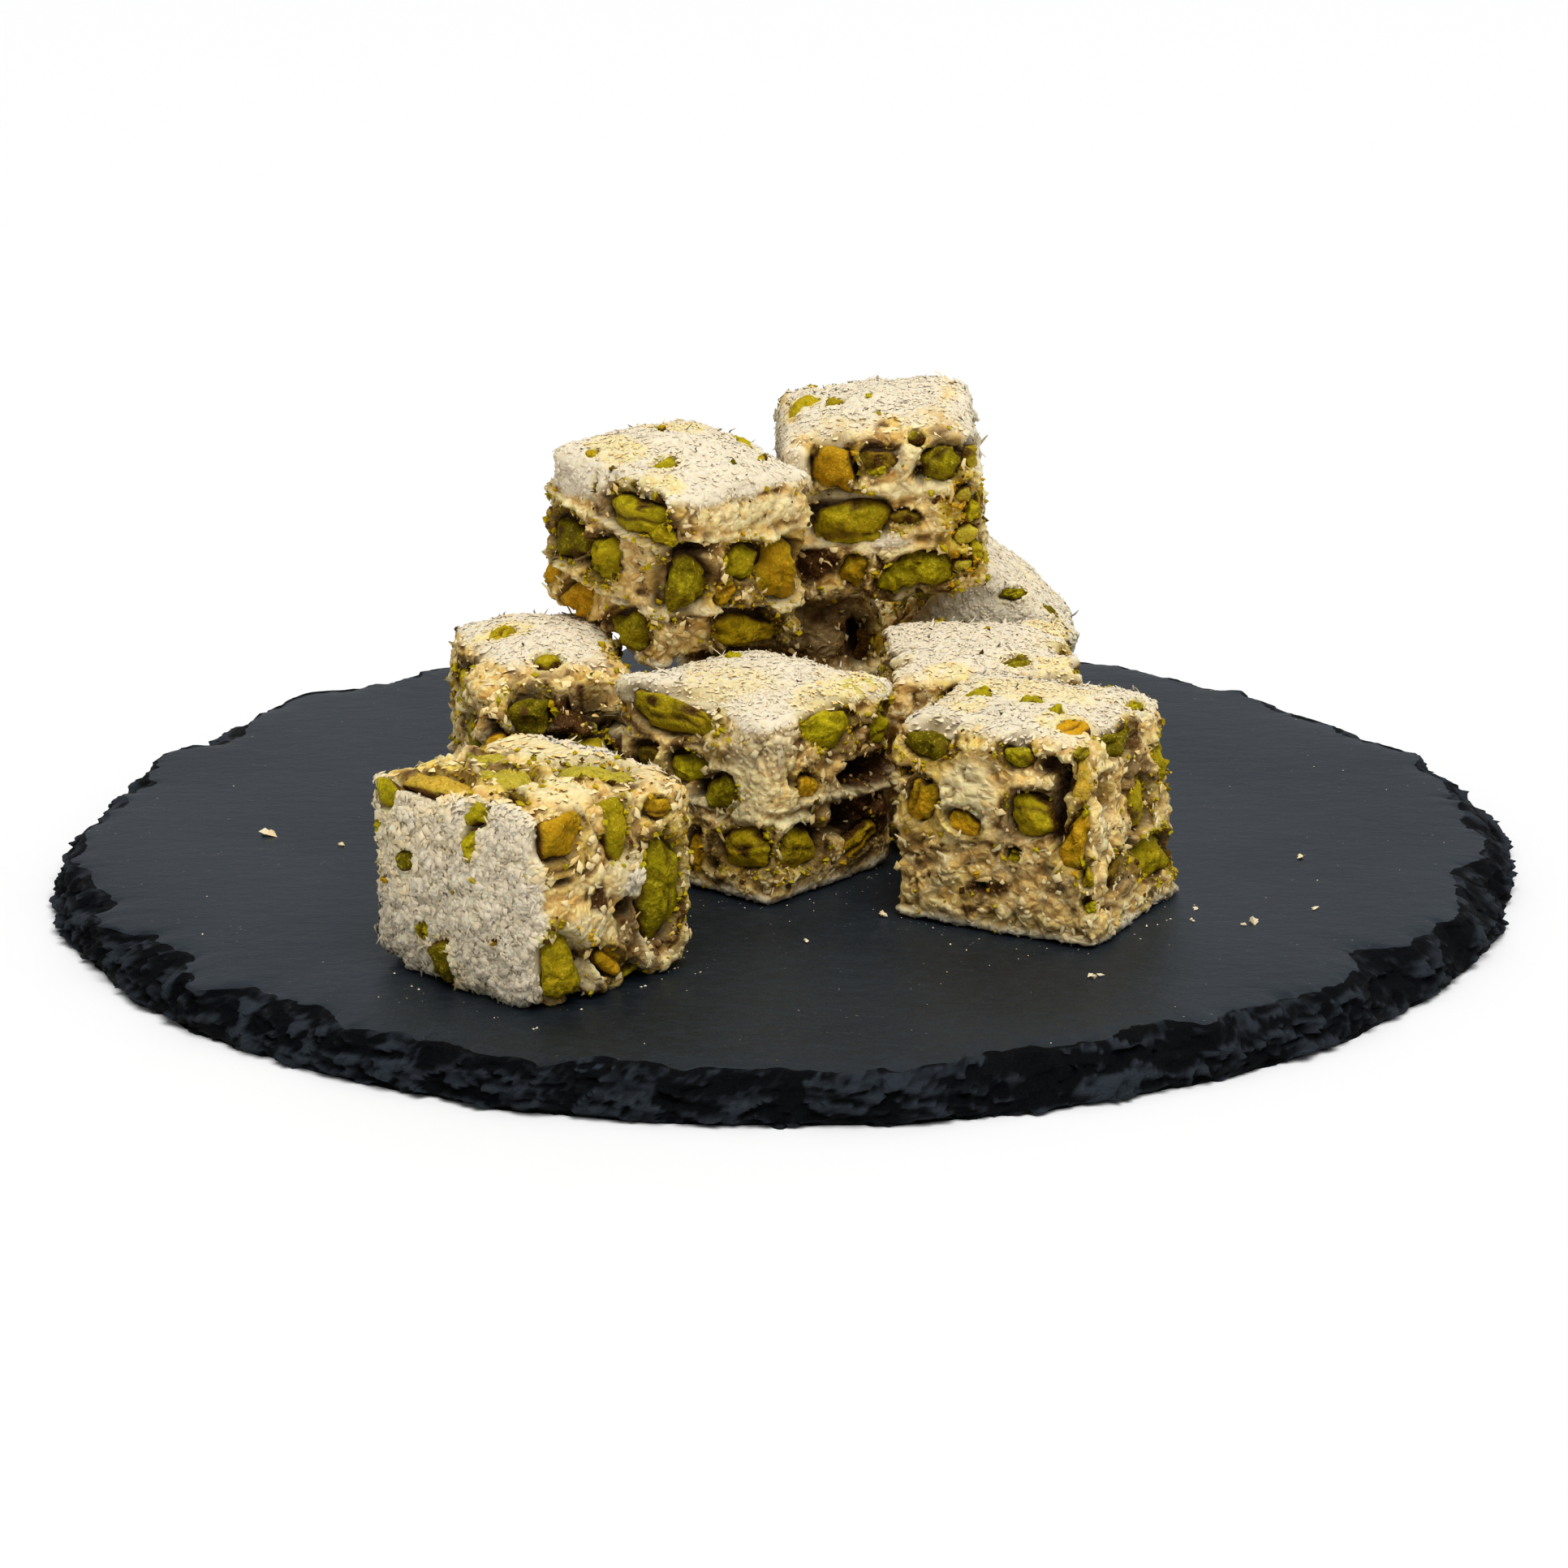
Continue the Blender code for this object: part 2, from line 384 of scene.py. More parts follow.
def slate_rim_paint():
    """Freshly struck stone: rough and black, and a little paler on the raised ridges of the scars
    as a painted highlight.
    """
    paint = Paint("struck_slate", IOR=1.5, Specular_IOR_Level=0.16)
    fine = paint.noise(0.35, 2, 0.7)
    colour = paint.mix(fine.between(0.35, 0.75), (0.0005, 0.001, 0.002), (0.003, 0.004, 0.006))
    # painted highlight: the raised ridges between the scars are coloured paler, as if they caught
    # the light
    scar_ridge_highlight = paint.mask("scars").between(0.1, -0.9)
    colour = paint.mix(scar_ridge_highlight * 0.7, colour, (0.055, 0.068, 0.084))
    height = paint.noise(1.3, 5, 0.7, paint.stretched((1, 1, 2.8)))
    roughness = fine * 0.1 + 0.6
    return paint.finish(Base_Color=colour, Roughness=roughness, Normal=paint.bump(height, 0.8))


struck_slate = slate_mesh()
struck_slate.materials.append(slate_face_paint())
add_piece("slate_board_struck", struck_slate, slate_rim_paint(), "slate_board")

# ================================================================== the sweet
# Each piece is a cube cut from a slab about three centimetres thick: whole and broken pistachio
# kernels and grated coconut bound with a pale chewy paste, rolled in thin films of it, and
# pressed between two beds of fine coconut. The knife leaves four crumbly sides with torn holes
# and the kernels cut or pulled half out, and the slab's two faces stay white with coconut.

SIDES = {                       # side: the way it faces, its across and its up, in the slab's axes
    "right": ((1, 0, 0), (0, 1, 0), (0, 0, 1)),
    "left": ((-1, 0, 0), (0, -1, 0), (0, 0, 1)),
    "near": ((0, -1, 0), (1, 0, 0), (0, 0, 1)),
    "far": ((0, 1, 0), (-1, 0, 0), (0, 0, 1)),
    "coat": ((0, 0, 1), (1, 0, 0), (0, 1, 0)),
    "foot": ((0, 0, -1), (1, 0, 0), (0, -1, 0)),
}
CUT_SIDES = ("right", "left", "near", "far")
EVEN_STEP = 0.49                # spacing of the points of a piece's surface, in millimetres
SUNK = -0.35                    # how far a kernel stands out of its side, unless it is given
PIECES_APART = 40.0             # how far from one another the pieces take their noise
SOWING_TRIES = 60               # places tried for kernels on a side that is sown
# how often each kind comes up there
SOWN_KINDS = {"olive": 0.34, "green": 0.20, "amber": 0.20, "dark": 0.08, "crumb": 0.18}


def lengths(vectors):
    return np.linalg.norm(vectors, axis=-1, keepdims=True)


def out_of_squares(points, squares):
    """A vector out of each square, as long as twice its area."""
    corners = points[squares]
    return np.cross(corners[:, 2] - corners[:, 0], corners[:, 3] - corners[:, 1])


def ease(values, low, high):
    """0 at low, 1 at high and smooth between them. low may be the larger one."""
    part = np.clip((values - low) / (high - low), 0, 1)
    return part * part * (3 - 2 * part)


class Lokum:
    """One cut piece: the smooth block of its solid, and what was pressed into it.

    Turn, tilt and roll are in degrees, and a tipped piece lies on a cut side.
    """

    every = []

    def __init__(self, node, seed, shown, turn=0, tilt=0, roll=0, tipped=False, drape=3.0,
                 foot=0.5, fluff=0.3, slump=0, step=EVEN_STEP):
        self.node = node
        self.seed = seed
        self.shown = shown          # the sides that are described, while the others are sown
        self.drape = drape          # how far the coconut comes down the cut sides, in millimetres
        self.foot = foot            # and how far it comes up them from the face below
        self.fluff = fluff          # how loosely the coconut lies on it, from 0 to 1
        self.hand = np.random.default_rng(seed)
        stand = Euler((math.radians(90), 0, 0)).to_matrix() if tipped else Matrix.Identity(3)
        pose = (
            Matrix.Rotation(math.radians(roll), 3, "Y")
            @ Matrix.Rotation(math.radians(tilt), 3, "X")
            @ Matrix.Rotation(math.radians(turn), 3, "Z")
            @ stand
        )
        self.pose = np.array(pose)
        self.points, self.faces = self.even_surface(step)
        corners = self.points @ self.pose
        self.middle = self.pose @ ((corners.min(0) + corners.max(0)) / 2)
        self.local = (self.points - self.middle) @ self.pose
        self.half = np.abs(self.local).max(0)
        # a piece without support under one corner has sagged there, by slump millimetres
        corner = self.local[:, 0] + self.local[:, 1]
        low = ease(-self.local[:, 2], -4, self.half[2])
        self.points[:, 2] -= slump * ease(corner, 4, 27) * low
        self.normals = self.smooth_normals()
        self.facing = self.normals @ self.pose
        self.kernels, self.holes, self.films, self.patches = [], [], [], []
        Lokum.every.append(self)

    def even_surface(self, step):
        """The solid's surface as evenly spaced points in millimetres, and its squares."""
        block = new_object("block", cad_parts[self.node].data.copy())
        weld = block.modifiers.new("weld", "WELD")
        weld.merge_threshold = 0.00001
        even = block.modifiers.new("even", "REMESH")
        even.mode = "VOXEL"
        even.voxel_size = step * MM
        soften = block.modifiers.new("soften", "SMOOTH")
        soften.iterations = 6
        evaluated = block.evaluated_get(bpy.context.evaluated_depsgraph_get())
        mesh = bpy.data.meshes.new_from_object(evaluated)
        bpy.data.objects.remove(block)
        points = np.zeros(len(mesh.vertices) * 3)
        mesh.vertices.foreach_get("co", points)
        faces = np.zeros(len(mesh.polygons) * 4, np.int64)
        mesh.loops.foreach_get("vertex_index", faces)
        bpy.data.meshes.remove(mesh)
        return points.reshape(-1, 3) / MM, faces.reshape(-1, 4)

    def smooth_normals(self):
        outward = out_of_squares(self.points, self.faces)
        normals = np.zeros_like(self.points)
        for corner in range(4):
            np.add.at(normals, self.faces[:, corner], outward)
        return normals / np.maximum(lengths(normals), 1e-9)

    def kernels_on(self, side, *kernels):
        """Kernels in a side: across, up, length, width, turn, kind, and how far it stands out."""
        for across, up, long, wide, turn, kind, *proud in kernels:
            self.kernels.append((side, across, up, long, wide, turn, kind, *(proud or [SUNK])))

    def holes_in(self, side, *holes):
        """Holes torn in a side: across, up, width, height and depth."""
        self.holes += [(side, *hole) for hole in holes]

    def film(self, up, slope, sides=CUT_SIDES):
        """A thin white sheet of paste that shows as a line across the cut sides."""
        self.films.append((up, slope, sides))

    def patches_of(self, kind, *patches):
        """Spreads of coconut, smooth paste, a tint, or skin, which some pieces use as painted
        shade: side, across, up, size and share.
        """
        for side, across, up, wide, high, *share in patches:
            self.patches.append((kind, side, across, up, wide, high, *(share or [1.0])))

    def on_side(self, side):
        """Each point's place on a side, and how much the surface there faces that way."""
        out, across, up = (np.array(axis) for axis in SIDES[side])
        return self.local @ across, self.local @ up, self.facing @ out

    def oval(self, side, across, up, wide, high):
        """How far out of an oval each point lies, 1 on its edge, and how much it faces the side."""
        a, b, faced = self.on_side(side)
        return np.hypot((a - across) / wide * 2, (b - up) / high * 2), faced

    def spot(self, side, across, up):
        """The point of the smooth surface at this place on a side, with three axes there."""
        a, b, faced = self.on_side(side)
        off = (a - across) ** 2 + (b - up) ** 2
        index = int(np.argmin(np.where(faced > 0.25, off, np.inf)))
        out, along, _ = (self.pose @ np.array(axis) for axis in SIDES[side])
        out = out * 0.55 + self.normals[index] * 0.45
        out /= np.linalg.norm(out)
        along = along - out * (along @ out)
        along /= np.linalg.norm(along)
        return self.points[index], out, along, np.cross(out, along)

    def fill_unseen(self):
        """Kernels, holes and films for the sides with none named, sown at random."""
        hand = self.hand
        if not self.films:
            for up in (hand.uniform(-7, -3), hand.uniform(2, 7)):
                self.film(up, hand.uniform(-0.12, 0.12))
        for side in CUT_SIDES:
            if side in self.shown:
                continue
            reach = self.half[1] if side in ("left", "right") else self.half[0]
            places = []
            for _ in range(SOWING_TRIES):
                across = hand.uniform(4.5 - reach, reach - 4.5)
                up = hand.uniform(5 - self.half[2], self.half[2] - 5)
                if all(abs(across - a) > 7.5 or abs(up - b) > 5.5 for a, b in places):
                    places.append((across, up))
            for across, up in places:
                kind = hand.choice(list(SOWN_KINDS), p=list(SOWN_KINDS.values()))
                self.kernels_on(side, (across, up, hand.uniform(5, 12), hand.uniform(4.5, 6.5),
                                       hand.uniform(-60, 60), kind, hand.uniform(-0.7, 0.0)))
            for _ in range(3):
                self.holes_in(side, (hand.uniform(-reach, reach) * 0.8, hand.uniform(-9, 9),
                                     hand.uniform(1.5, 4), hand.uniform(1.5, 5),
                                     hand.uniform(1.5, 3.2)))
        for side in ("coat", "foot"):
            if side in self.shown:
                continue
            for _ in range(5):
                self.kernels_on(side, (hand.uniform(-11, 11), hand.uniform(-11, 11),
                                       hand.uniform(2.4, 4.5), hand.uniform(2, 3.2),
                                       hand.uniform(0, 180), "green", 0.1))

    def sculpt(self):
        """Presses everything into the smooth block, and notes what each point is made of and where
        shade and highlights are painted on it.
        """
        points, seed = self.local + self.seed * PIECES_APART, self.seed
        height = self.half[2] - np.abs(self.local[:, 2])
        reach = np.where(self.local[:, 2] > 0, self.drape, self.foot)
        wander = bumps(points, 3.4, seed) + 0.5 * bumps(points, 1.4, seed + 1)
        edge = height + 0.6 * wander + 0.8 * bumps(points, 8, seed + 4)
        coat = ease(edge, reach + 0.7, reach - 0.5)
        yellow = 0.45 * ease(bumps(points, 9, seed + 5) + 0.4 * wander, 0.35, 0.9)
        streaks = points * (1, 1, 1.8)
        skin = bumps(streaks, 2.0, seed + 6) + 0.6 * bumps(streaks, 5.5, seed + 7)
        skin = 0.9 * ease(skin, 0.50, 0.80)
        nothing = np.zeros(len(points))
        spread = {"coat": coat, "paste": nothing, "yellow": yellow, "green": nothing, "skin": skin}
        for kind, *oval, share in self.patches:
            off, faced = self.oval(*oval)
            patch = share * ease(off + 0.28 * wander, 1.15, 0.75) * ease(faced, 0.1, 0.5)
            spread[kind] = np.maximum(spread[kind], patch)
        coat, smooth, yellow, green, skin = spread.values()

        film = under_film = nothing
        for up, slope, sides in self.films:
            for side in sides:
                a, b, faced = self.on_side(side)
                line = up + slope * a + 0.9 * bumps(points, 7, seed + 11)
                width = 0.55 + 0.2 * bumps(points, 4, seed + 12)
                seen = ease(bumps(points, 6, seed + 13), -0.75, -0.35) * ease(faced, 0.3, 0.6)
                film = np.maximum(film, np.exp(-((b - line) / width) ** 2) * seen)
                under_film = np.maximum(under_film, np.exp(-((b - line + 1.3) / 0.6) ** 2) * seen)
        film = np.maximum(film, smooth) * (1 - coat)
        skin = skin * (1 - 0.8 * smooth)

        lumps = 1.5 * (0.5 - pebbles(points, 4.2, seed + 20))
        lumps += 1.0 * (0.5 - pebbles(points, 2.2, seed + 24))
        lumps += 0.8 * (0.5 - pebbles(points, 1.4, seed + 28))
        lumps *= 1 - 0.75 * smooth
        cracks = ease(np.abs(bumps(streaks, 5.0, seed + 32) + 0.3 * wander), 0.14, 0.02)
        cracks *= ease(bumps(points, 7.0, seed + 33), -0.2, 0.2)
        rise = 0.35 * bumps(points, 6.5, seed + 2)
        grain = (0.05 + 1.55 * self.fluff) * (0.5 - pebbles(points, 1.9, seed + 36))
        grain += (0.08 + 0.50 * self.fluff) * (0.5 - pebbles(points, 0.9, seed + 39))
        on_coat = rise + grain + 0.25 * bumps(points, 3.0, seed + 3) + 0.25
        on_cut = rise + lumps - 1.2 * cracks - 0.15 + 0.75 * film - 0.35 * smooth - 0.7 * under_film
        out = on_coat * coat + on_cut * (1 - coat)
        # painted shade: the valleys between the lumps and the cracks are marked to be coloured dark
        # brown
        crease_shade = np.maximum(ease(lumps, -0.15, -0.80), 0.8 * cracks) * (1 - coat)
        # painted highlight: the tops of the lumps are marked to be coloured paler
        lump_highlight = ease(lumps, 0.05, 0.80) * (1 - coat)
        # The holes and the kernels' sockets are noted too, and their mask carries painted shade.
        shaded_hollows = pocket = nothing
        for *oval, depth in self.holes:
            off, faced = self.oval(*oval)
            sunk = ease(off + 0.38 * wander, 1.1, 0.6) * ease(faced, 0.2, 0.5)
            out -= depth * sunk * (1 + 0.25 * lumps)
            shaded_hollows = np.maximum(shaded_hollows, sunk)
        hand = np.random.default_rng(seed + 500)
        for side, across, up, long, wide, turn, kind, _ in self.kernels:
            a, b, faced = self.on_side(side)
            gap = hand.uniform(0.2, 1.0) if side in CUT_SIDES else 0.1
            angle = math.radians(turn)
            a, b = a - across, b - up - gap
            along = (a * math.cos(angle) + b * math.sin(angle)) / (long / 2 + gap * 0.3)
            beside = (b * math.cos(angle) - a * math.sin(angle)) / (wide / 2 + gap * 0.3)
            off = (np.abs(along) ** 2.4 + np.abs(beside) ** 2.4) ** (1 / 2.4)
            off += (0.11 if side in CUT_SIDES else 0.2) * wander
            faces_it = ease(faced, 0.1, 0.4)
            sunk = ease(off, 1.02, 0.86) * faces_it
            lip = np.exp(-((off - 1.2) / 0.16) ** 2) * faces_it
            out = out * (1 - sunk) - min(2.3, 0.7 + wide * 0.3) * sunk + 0.3 * lip * (1 - shaded_hollows)
            ring = ease(off, 1.5, 1.1) * faces_it * (1 - sunk)
            pocket = np.maximum(pocket, sunk)
            if side not in CUT_SIDES:
                yellow = np.maximum(yellow, 0.5 * ring)
            elif "amber" in kind:
                yellow = np.maximum(yellow, 0.7 * ring)
            else:
                strewn = 0.9 if kind == "crumb" else 0.45
                green = np.maximum(green, strewn * ring * ease(wander, -0.3, 0.3))
            rim = np.exp(-((off - 1.07) / 0.13) ** 2) * faces_it * (side in CUT_SIDES)
            skin = np.maximum(skin, rim * ease(bumps(points, 3.0, seed + 44), -0.6, 0.1))
        # Besides what the paste is made of, these masks mark painted shade in the valleys, cracks
        # and hollows and a painted highlight on the tops of the lumps.
        self.masks = {
            "coat": coat, "film": film, "yellow": yellow, "green": green, "crease_shade": crease_shade,
            "lump_highlight": lump_highlight, "skin": skin * (1 - coat * 0.9), "shaded_hollows": np.maximum(shaded_hollows, pocket),
        }
        self.bare = np.maximum(self.masks["shaded_hollows"], 0.7 * self.masks["skin"])
        self.shaped = self.points + self.normals * out[:, None]
        self.shaped[:, 2] = np.maximum(self.shaped[:, 2], self.floor())

    def floor(self):
        """Nothing of a piece sinks into what it lies on."""
        return self.points[:, 2].min() - 0.25

    def body(self, material):
        mesh = build_mesh(self.node + "_cut", self.shaped * MM, self.faces, **self.masks)
        add_piece(self.node + "_cut", mesh, material, self.node)


def lokum_paint():
    """Pale chewy paste that light sinks into, and the coconut pressed on it."""
    paint = Paint("coconut_lokum", IOR=1.4, Specular_IOR_Level=0.25, Subsurface_Weight=0.55,
                  Subsurface_Scale=0.0016, Subsurface_Radius=(1.0, 0.7, 0.35))
    coat, film, shaded_hollows, yellow, green = map(paint.mask, ("coat", "film", "shaded_hollows", "yellow", "green"))
    fine = paint.noise(0.5, 3, 0.65)
    medium = paint.noise(2.2, 3, 0.6)
    coarse = paint.pushed(1.8, 0.6, (0.95, 0.95, 1.05))
    flake = paint.cell_tones(1.6, coarse)
    gap = paint.cells(1.6, "DISTANCE_TO_EDGE", coarse)
    matted = paint.pushed(0.9, 0.4)
    shred = paint.cell_tones(0.55, matted, 1)
    speck = paint.cells(1.9).between(0.16, 0.08) * paint.noise(6, 2).between(0.5, 0.62)

    bits = paint.cells(1.3, place=coarse).between(0.24, 0.12)
    bits = bits * paint.noise(3.5, 2).between(0.48, 0.62)
    paste = paint.over(
        paint.mix(medium.between(0.36, 0.66), (0.87, 0.57, 0.19), (0.97, 0.73, 0.31)),
        (flake.between(0.40, 0.9) * 0.7, (0.98, 0.81, 0.44)),
        (flake.between(0.25, 0.0) * 0.35, (0.62, 0.33, 0.08)),
        # painted highlight on the tops of the lumps
        (paint.mask("lump_highlight") * 0.5, (0.98, 0.81, 0.44)),
        # painted shade in the gaps between the cells, where the bump sinks
        (gap.between(0.13, 0.02) * 0.32, (0.42, 0.21, 0.045)),
        # painted shade in the valleys between the lumps and in the cracks
        (paint.mask("crease_shade") * 0.68, (0.20, 0.09, 0.018)),
        (bits * 0.75, (0.13, 0.06, 0.015)),
        (fine.between(0.38, 0.28) * 0.12, (0.50, 0.30, 0.09)),
        (yellow * medium.between(0.3, 0.55), (0.88, 0.65, 0.14)),
        (green * fine.between(0.3, 0.55), (0.48, 0.37, 0.012)),
        # brown skin, and painted shade where a skin patch is laid on a side in shadow
        (paint.mask("skin") * fine.between(0.2, 0.45), (0.095, 0.042, 0.009)),
        # painted shade, nearly black, in the holes and the kernels' sockets
        (shaded_hollows * 0.95, (0.030, 0.012, 0.003)),
    )
    flakes = paint.over(
        paint.mix(shred, (0.83, 0.715, 0.505), (0.89, 0.785, 0.59)),
        (fine.between(0.42, 0.30) * 0.12, (0.70, 0.56, 0.31)),
        (yellow * medium.between(0.3, 0.6) * 0.7, (0.88, 0.73, 0.28)),
        (green * medium.between(0.35, 0.6) * 0.8, (0.60, 0.50, 0.07)),
        (speck * 0.8, (0.32, 0.17, 0.04)),
        # painted shade on the coconut in the holes and sockets
        (shaded_hollows * 0.55, (0.30, 0.19, 0.05)),
    )
    colour = paint.mix(coat, paste, flakes)
    colour = paint.mix(film * fine.between(0.2, 0.45) * 0.75, colour, (0.97, 0.82, 0.48))
    crumbly = gap.between(0.0, 0.42) * 1.15 + flake * 0.45
    height = crumbly * (1 - coat * 0.97) + shred * coat * 0.12 + fine * (1 - coat * 0.7) * 0.5
    roughness = coat * 0.2 + medium * 0.2 + 0.5
    return paint.finish(Base_Color=colour, Roughness=roughness, Normal=paint.bump(height, 0.26))


# ------------------------------------------------------------------ front left
# It has fallen onto a cut side, so one coconut face looks to the left front, the films of
# paste stand upright on its right side, and the side on top is cut.

front_left = Lokum("lokum_front_left", 1, ("coat", "right", "far"),
                   turn=-43, tipped=True, fluff=1.0)
front_left.kernels_on("coat",
    (-12.5, 10.5, 5, 4, 70, "green", 0.5), (-15, 5.5, 3.5, 3, 80, "green", 0.5),
    (5, 11.5, 4, 3.5, 20, "green", 0.4), (4.5, 7.5, 4.5, 2.5, 90, "green", 0.3),
    (-8.5, 2.5, 4, 3, 20, "dark", 0.2), (-5.5, -7, 3, 1.9, 75, "green", 0.2),
    (-1.5, -10.5, 6.5, 4.5, 80, "dark", 0.9), (-13, -1.5, 1.2, 0.9, 0, "amber", 0.1),
    (1, 0.5, 1.4, 0.9, 70, "olive", 0.1), (8.5, -5, 1.2, 0.8, 0, "amber", 0.1))
front_left.kernels_on("far",
    (6.5, 10.5, 12, 6, 10, "paleamber"), (1.5, 3, 11, 7, -5, "pale"),
    (-5, -6.5, 13.5, 7.5, 10, "pale"), (-7.5, 9, 5.5, 2.5, -30, "skin"),
    (10, -1.5, 7, 5.5, 40, "pale"))
front_left.kernels_on("right",
    (10.5, 9, 9.5, 8.5, 0, "amber"), (10, -0.5, 13, 4.5, 0, "olive"),
    (-1.5, -9.5, 15, 8.5, 0, "slit"), (-9.5, 10.5, 12.5, 11, 25, "crumb"),
    (-9.5, 1, 5, 4, 40, "amber"), (9.5, -8.5, 4.5, 3, 70, "amber"))
front_left.holes_in("right",
    (-4.5, -9.5, 4, 1.5, 3), (-3, -1.5, 3.5, 4, 3.5), (-7, 4, 3, 2.5, 3), (-11.5, -3, 2, 3, 2.5),
    (3.5, 10, 1.4, 5, 1.6))
front_left.patches_of("yellow", ("far", 2, 6, 26, 10), ("coat", -1, -13, 6, 6))
front_left.patches_of("coat", ("far", 3, -13.5, 26, 5), ("right", 1, -2.5, 3.5, 3))
front_left.patches_of("skin",
    ("right", -0.5, 3.5, 7, 3), ("right", 3.5, -5, 9, 9, 0.7), ("right", -6, -3, 9, 9, 0.7))
front_left.patches_of("paste",
    ("right", -4, 6, 4.5, 9), ("right", 2.5, -2, 7, 8), ("right", -10.5, 8, 4.5, 9),
    ("far", 3, -9.5, 28, 12), ("far", -9, 4, 10, 10))
front_left.film(-4.2, 0.02, ("right",))
front_left.film(3.8, -0.10, ("far",))

# ------------------------------------------------------------------ front right
# It stands as it was cut, and its foot has spread a little on the board.

front_right = Lokum("lokum_front_right", 2, ("coat", "near", "right"),
                    turn=-29, drape=2.4, foot=0.8)
front_right.kernels_on("coat",
    (-10, 0, 4.5, 3.5, 10, "green", 0.4), (-1, -1.5, 4, 3, 60, "green", 0.6),
    (4, -3.5, 3, 2, 80, "green", 0.5), (8, -7, 4.5, 4, 70, "amber", 0.5),
    (12, -12.5, 3, 2, 80, "green", 0.5), (4.5, 12, 3, 1.9, 20, "olive", 0.2),
    (11, 7.5, 4, 2.5, 80, "green", 0.4))
front_right.kernels_on("near",
    (-11.5, 11, 8.5, 6.5, 5, "dark"), (-11.5, 2, 6.5, 4.5, 75, "amber"),
    (-5, -0.5, 5.5, 3, -20, "amber"), (2.5, 10.5, 4.5, 4, 20, "green"),
    (5, 2, 7, 6.5, 0, "olive"), (3, -3.5, 2.5, 2, 0, "green"), (13, 0, 9, 5, 65, "amber"),
    (14.5, 8.5, 7.5, 4.5, 80, "paleamber"), (13.5, 12.5, 3, 2.5, 35, "green"),
    (15, 4.5, 2.5, 2, 60, "crumb"), (14.5, -5, 3.5, 2.5, 70, "crumb"),
    (15, -9, 2.5, 2, 20, "green"))
front_right.kernels_on("right",
    (-1.5, 11.5, 10.5, 5.5, -10, "dark"), (4, 0.5, 7.5, 6.5, 75, "olive"),
    (8, -8, 13, 6.5, -10, "crumb"), (-6.5, -6, 5.5, 3, 10, "skin"), (11, 4.5, 6, 5, 50, "crumb"))
front_right.holes_in("near",
    (7, 10, 3.5, 3, 3.5), (10, 8, 4, 4, 4.5), (9, 3, 2.5, 8, 4), (-1.5, -8.5, 2, 1.6, 1.6),
    (-14, 6, 2, 1.8, 1.6))
front_right.holes_in("right", (-7, 4, 5.5, 9, 5), (0.5, -4.5, 3, 2, 1.8))
front_right.patches_of("yellow",
    ("coat", 7, -6, 9, 8), ("coat", -8.5, -4.5, 8, 6), ("coat", -3, 5, 22, 12, 0.8),
    ("near", -9, 3, 12, 12, 0.6))
front_right.patches_of("skin",
    ("near", -1, -8.5, 7, 3), ("right", 3, 4, 7, 9, 0.7), ("near", 0, -7, 32, 12, 0.22),
    ("near", -8, 5, 14, 12, 0.3), ("right", -3, -8, 12, 5, 0.6))
front_right.patches_of("paste", ("near", -4, 4.5, 8, 9), ("right", -9.5, 1, 4, 8))
front_right.film(-2.4, 0.05, ("left",))

# ------------------------------------------------------------------ middle
# The largest kernel of the heap lies across its left side, and a tongue of coconut has been
# dragged down over the corner that points forward.

middle = Lokum("lokum_middle", 3, ("coat", "near", "right"), turn=-40)
middle.kernels_on("coat", (-8.5, 5, 3, 2, 30, "green", 0.3))
middle.kernels_on("near",
    (-4.5, 10.5, 17, 7.5, 0, "olive"), (5, 0.5, 7, 5, 25, "green"),
    (-1.5, 3, 6.5, 4.5, 10, "crumb"), (-9, 3.5, 6, 3, 10, "skin"),
    (-11.5, -0.5, 5.5, 4.5, 35, "green"), (9.5, -7.5, 11, 7, 10, "olive"),
    (0.5, -9.5, 6.5, 3, 85, "amber"), (-7, -7, 10.5, 6, 10, "crumb"))
middle.kernels_on("right",
    (-1, 9, 11.5, 8, -20, "green"), (-7, -8, 9.5, 7, -10, "olive"),
    (-6, 1.5, 4.5, 3.5, -20, "amber"), (11, 6.5, 6, 5.5, 60, "green"),
    (6.5, -10, 8, 4, 20, "amber"))
middle.holes_in("near",
    (2, 4.5, 2.5, 1.6, 2), (-4, -2.5, 3.5, 2, 2), (3.5, -10.5, 2.5, 3, 3), (1.5, 0.5, 2, 3.5, 3))
middle.holes_in("right", (7, 1, 11, 5.5, 5.5), (2.5, -5.5, 9, 6, 5), (-9.5, 3, 2, 2.5, 2))
middle.patches_of("yellow", ("coat", 12, 3, 8, 20), ("coat", -1, -5, 15, 14, 0.7))
middle.patches_of("green", ("coat", 12.5, 9, 5, 8))
middle.patches_of("coat", ("near", 10.5, 10, 10, 10, 0.35), ("right", -12, 10, 7, 10, 0.35))
# painted shade: the two skin patches on the right side darken it where the front right piece shades
# it
middle.patches_of("skin",
    ("right", 9, -2, 12, 18), ("near", 7.5, 4, 5, 8, 0.5), ("right", -3, -2, 14, 10, 0.6))
middle.patches_of("paste", ("right", -9, -3, 9, 2.5), ("near", 9, 1, 9, 11))
middle.film(-1.6, -0.06)

# ------------------------------------------------------------------ left
# It stands in the shade of the piece above it, and its near side is torn into two deep holes.

left = Lokum("lokum_left", 4, ("coat", "near", "left"), turn=12, drape=2.6)
left.kernels_on("coat",
    (-5.5, 3.5, 5, 3.5, 10, "olive", 0.4), (0, -7, 4.5, 3.5, 20, "olive", 0.6),
    (-8, 10.5, 1.0, 0.8, 0, "amber", 0.1))
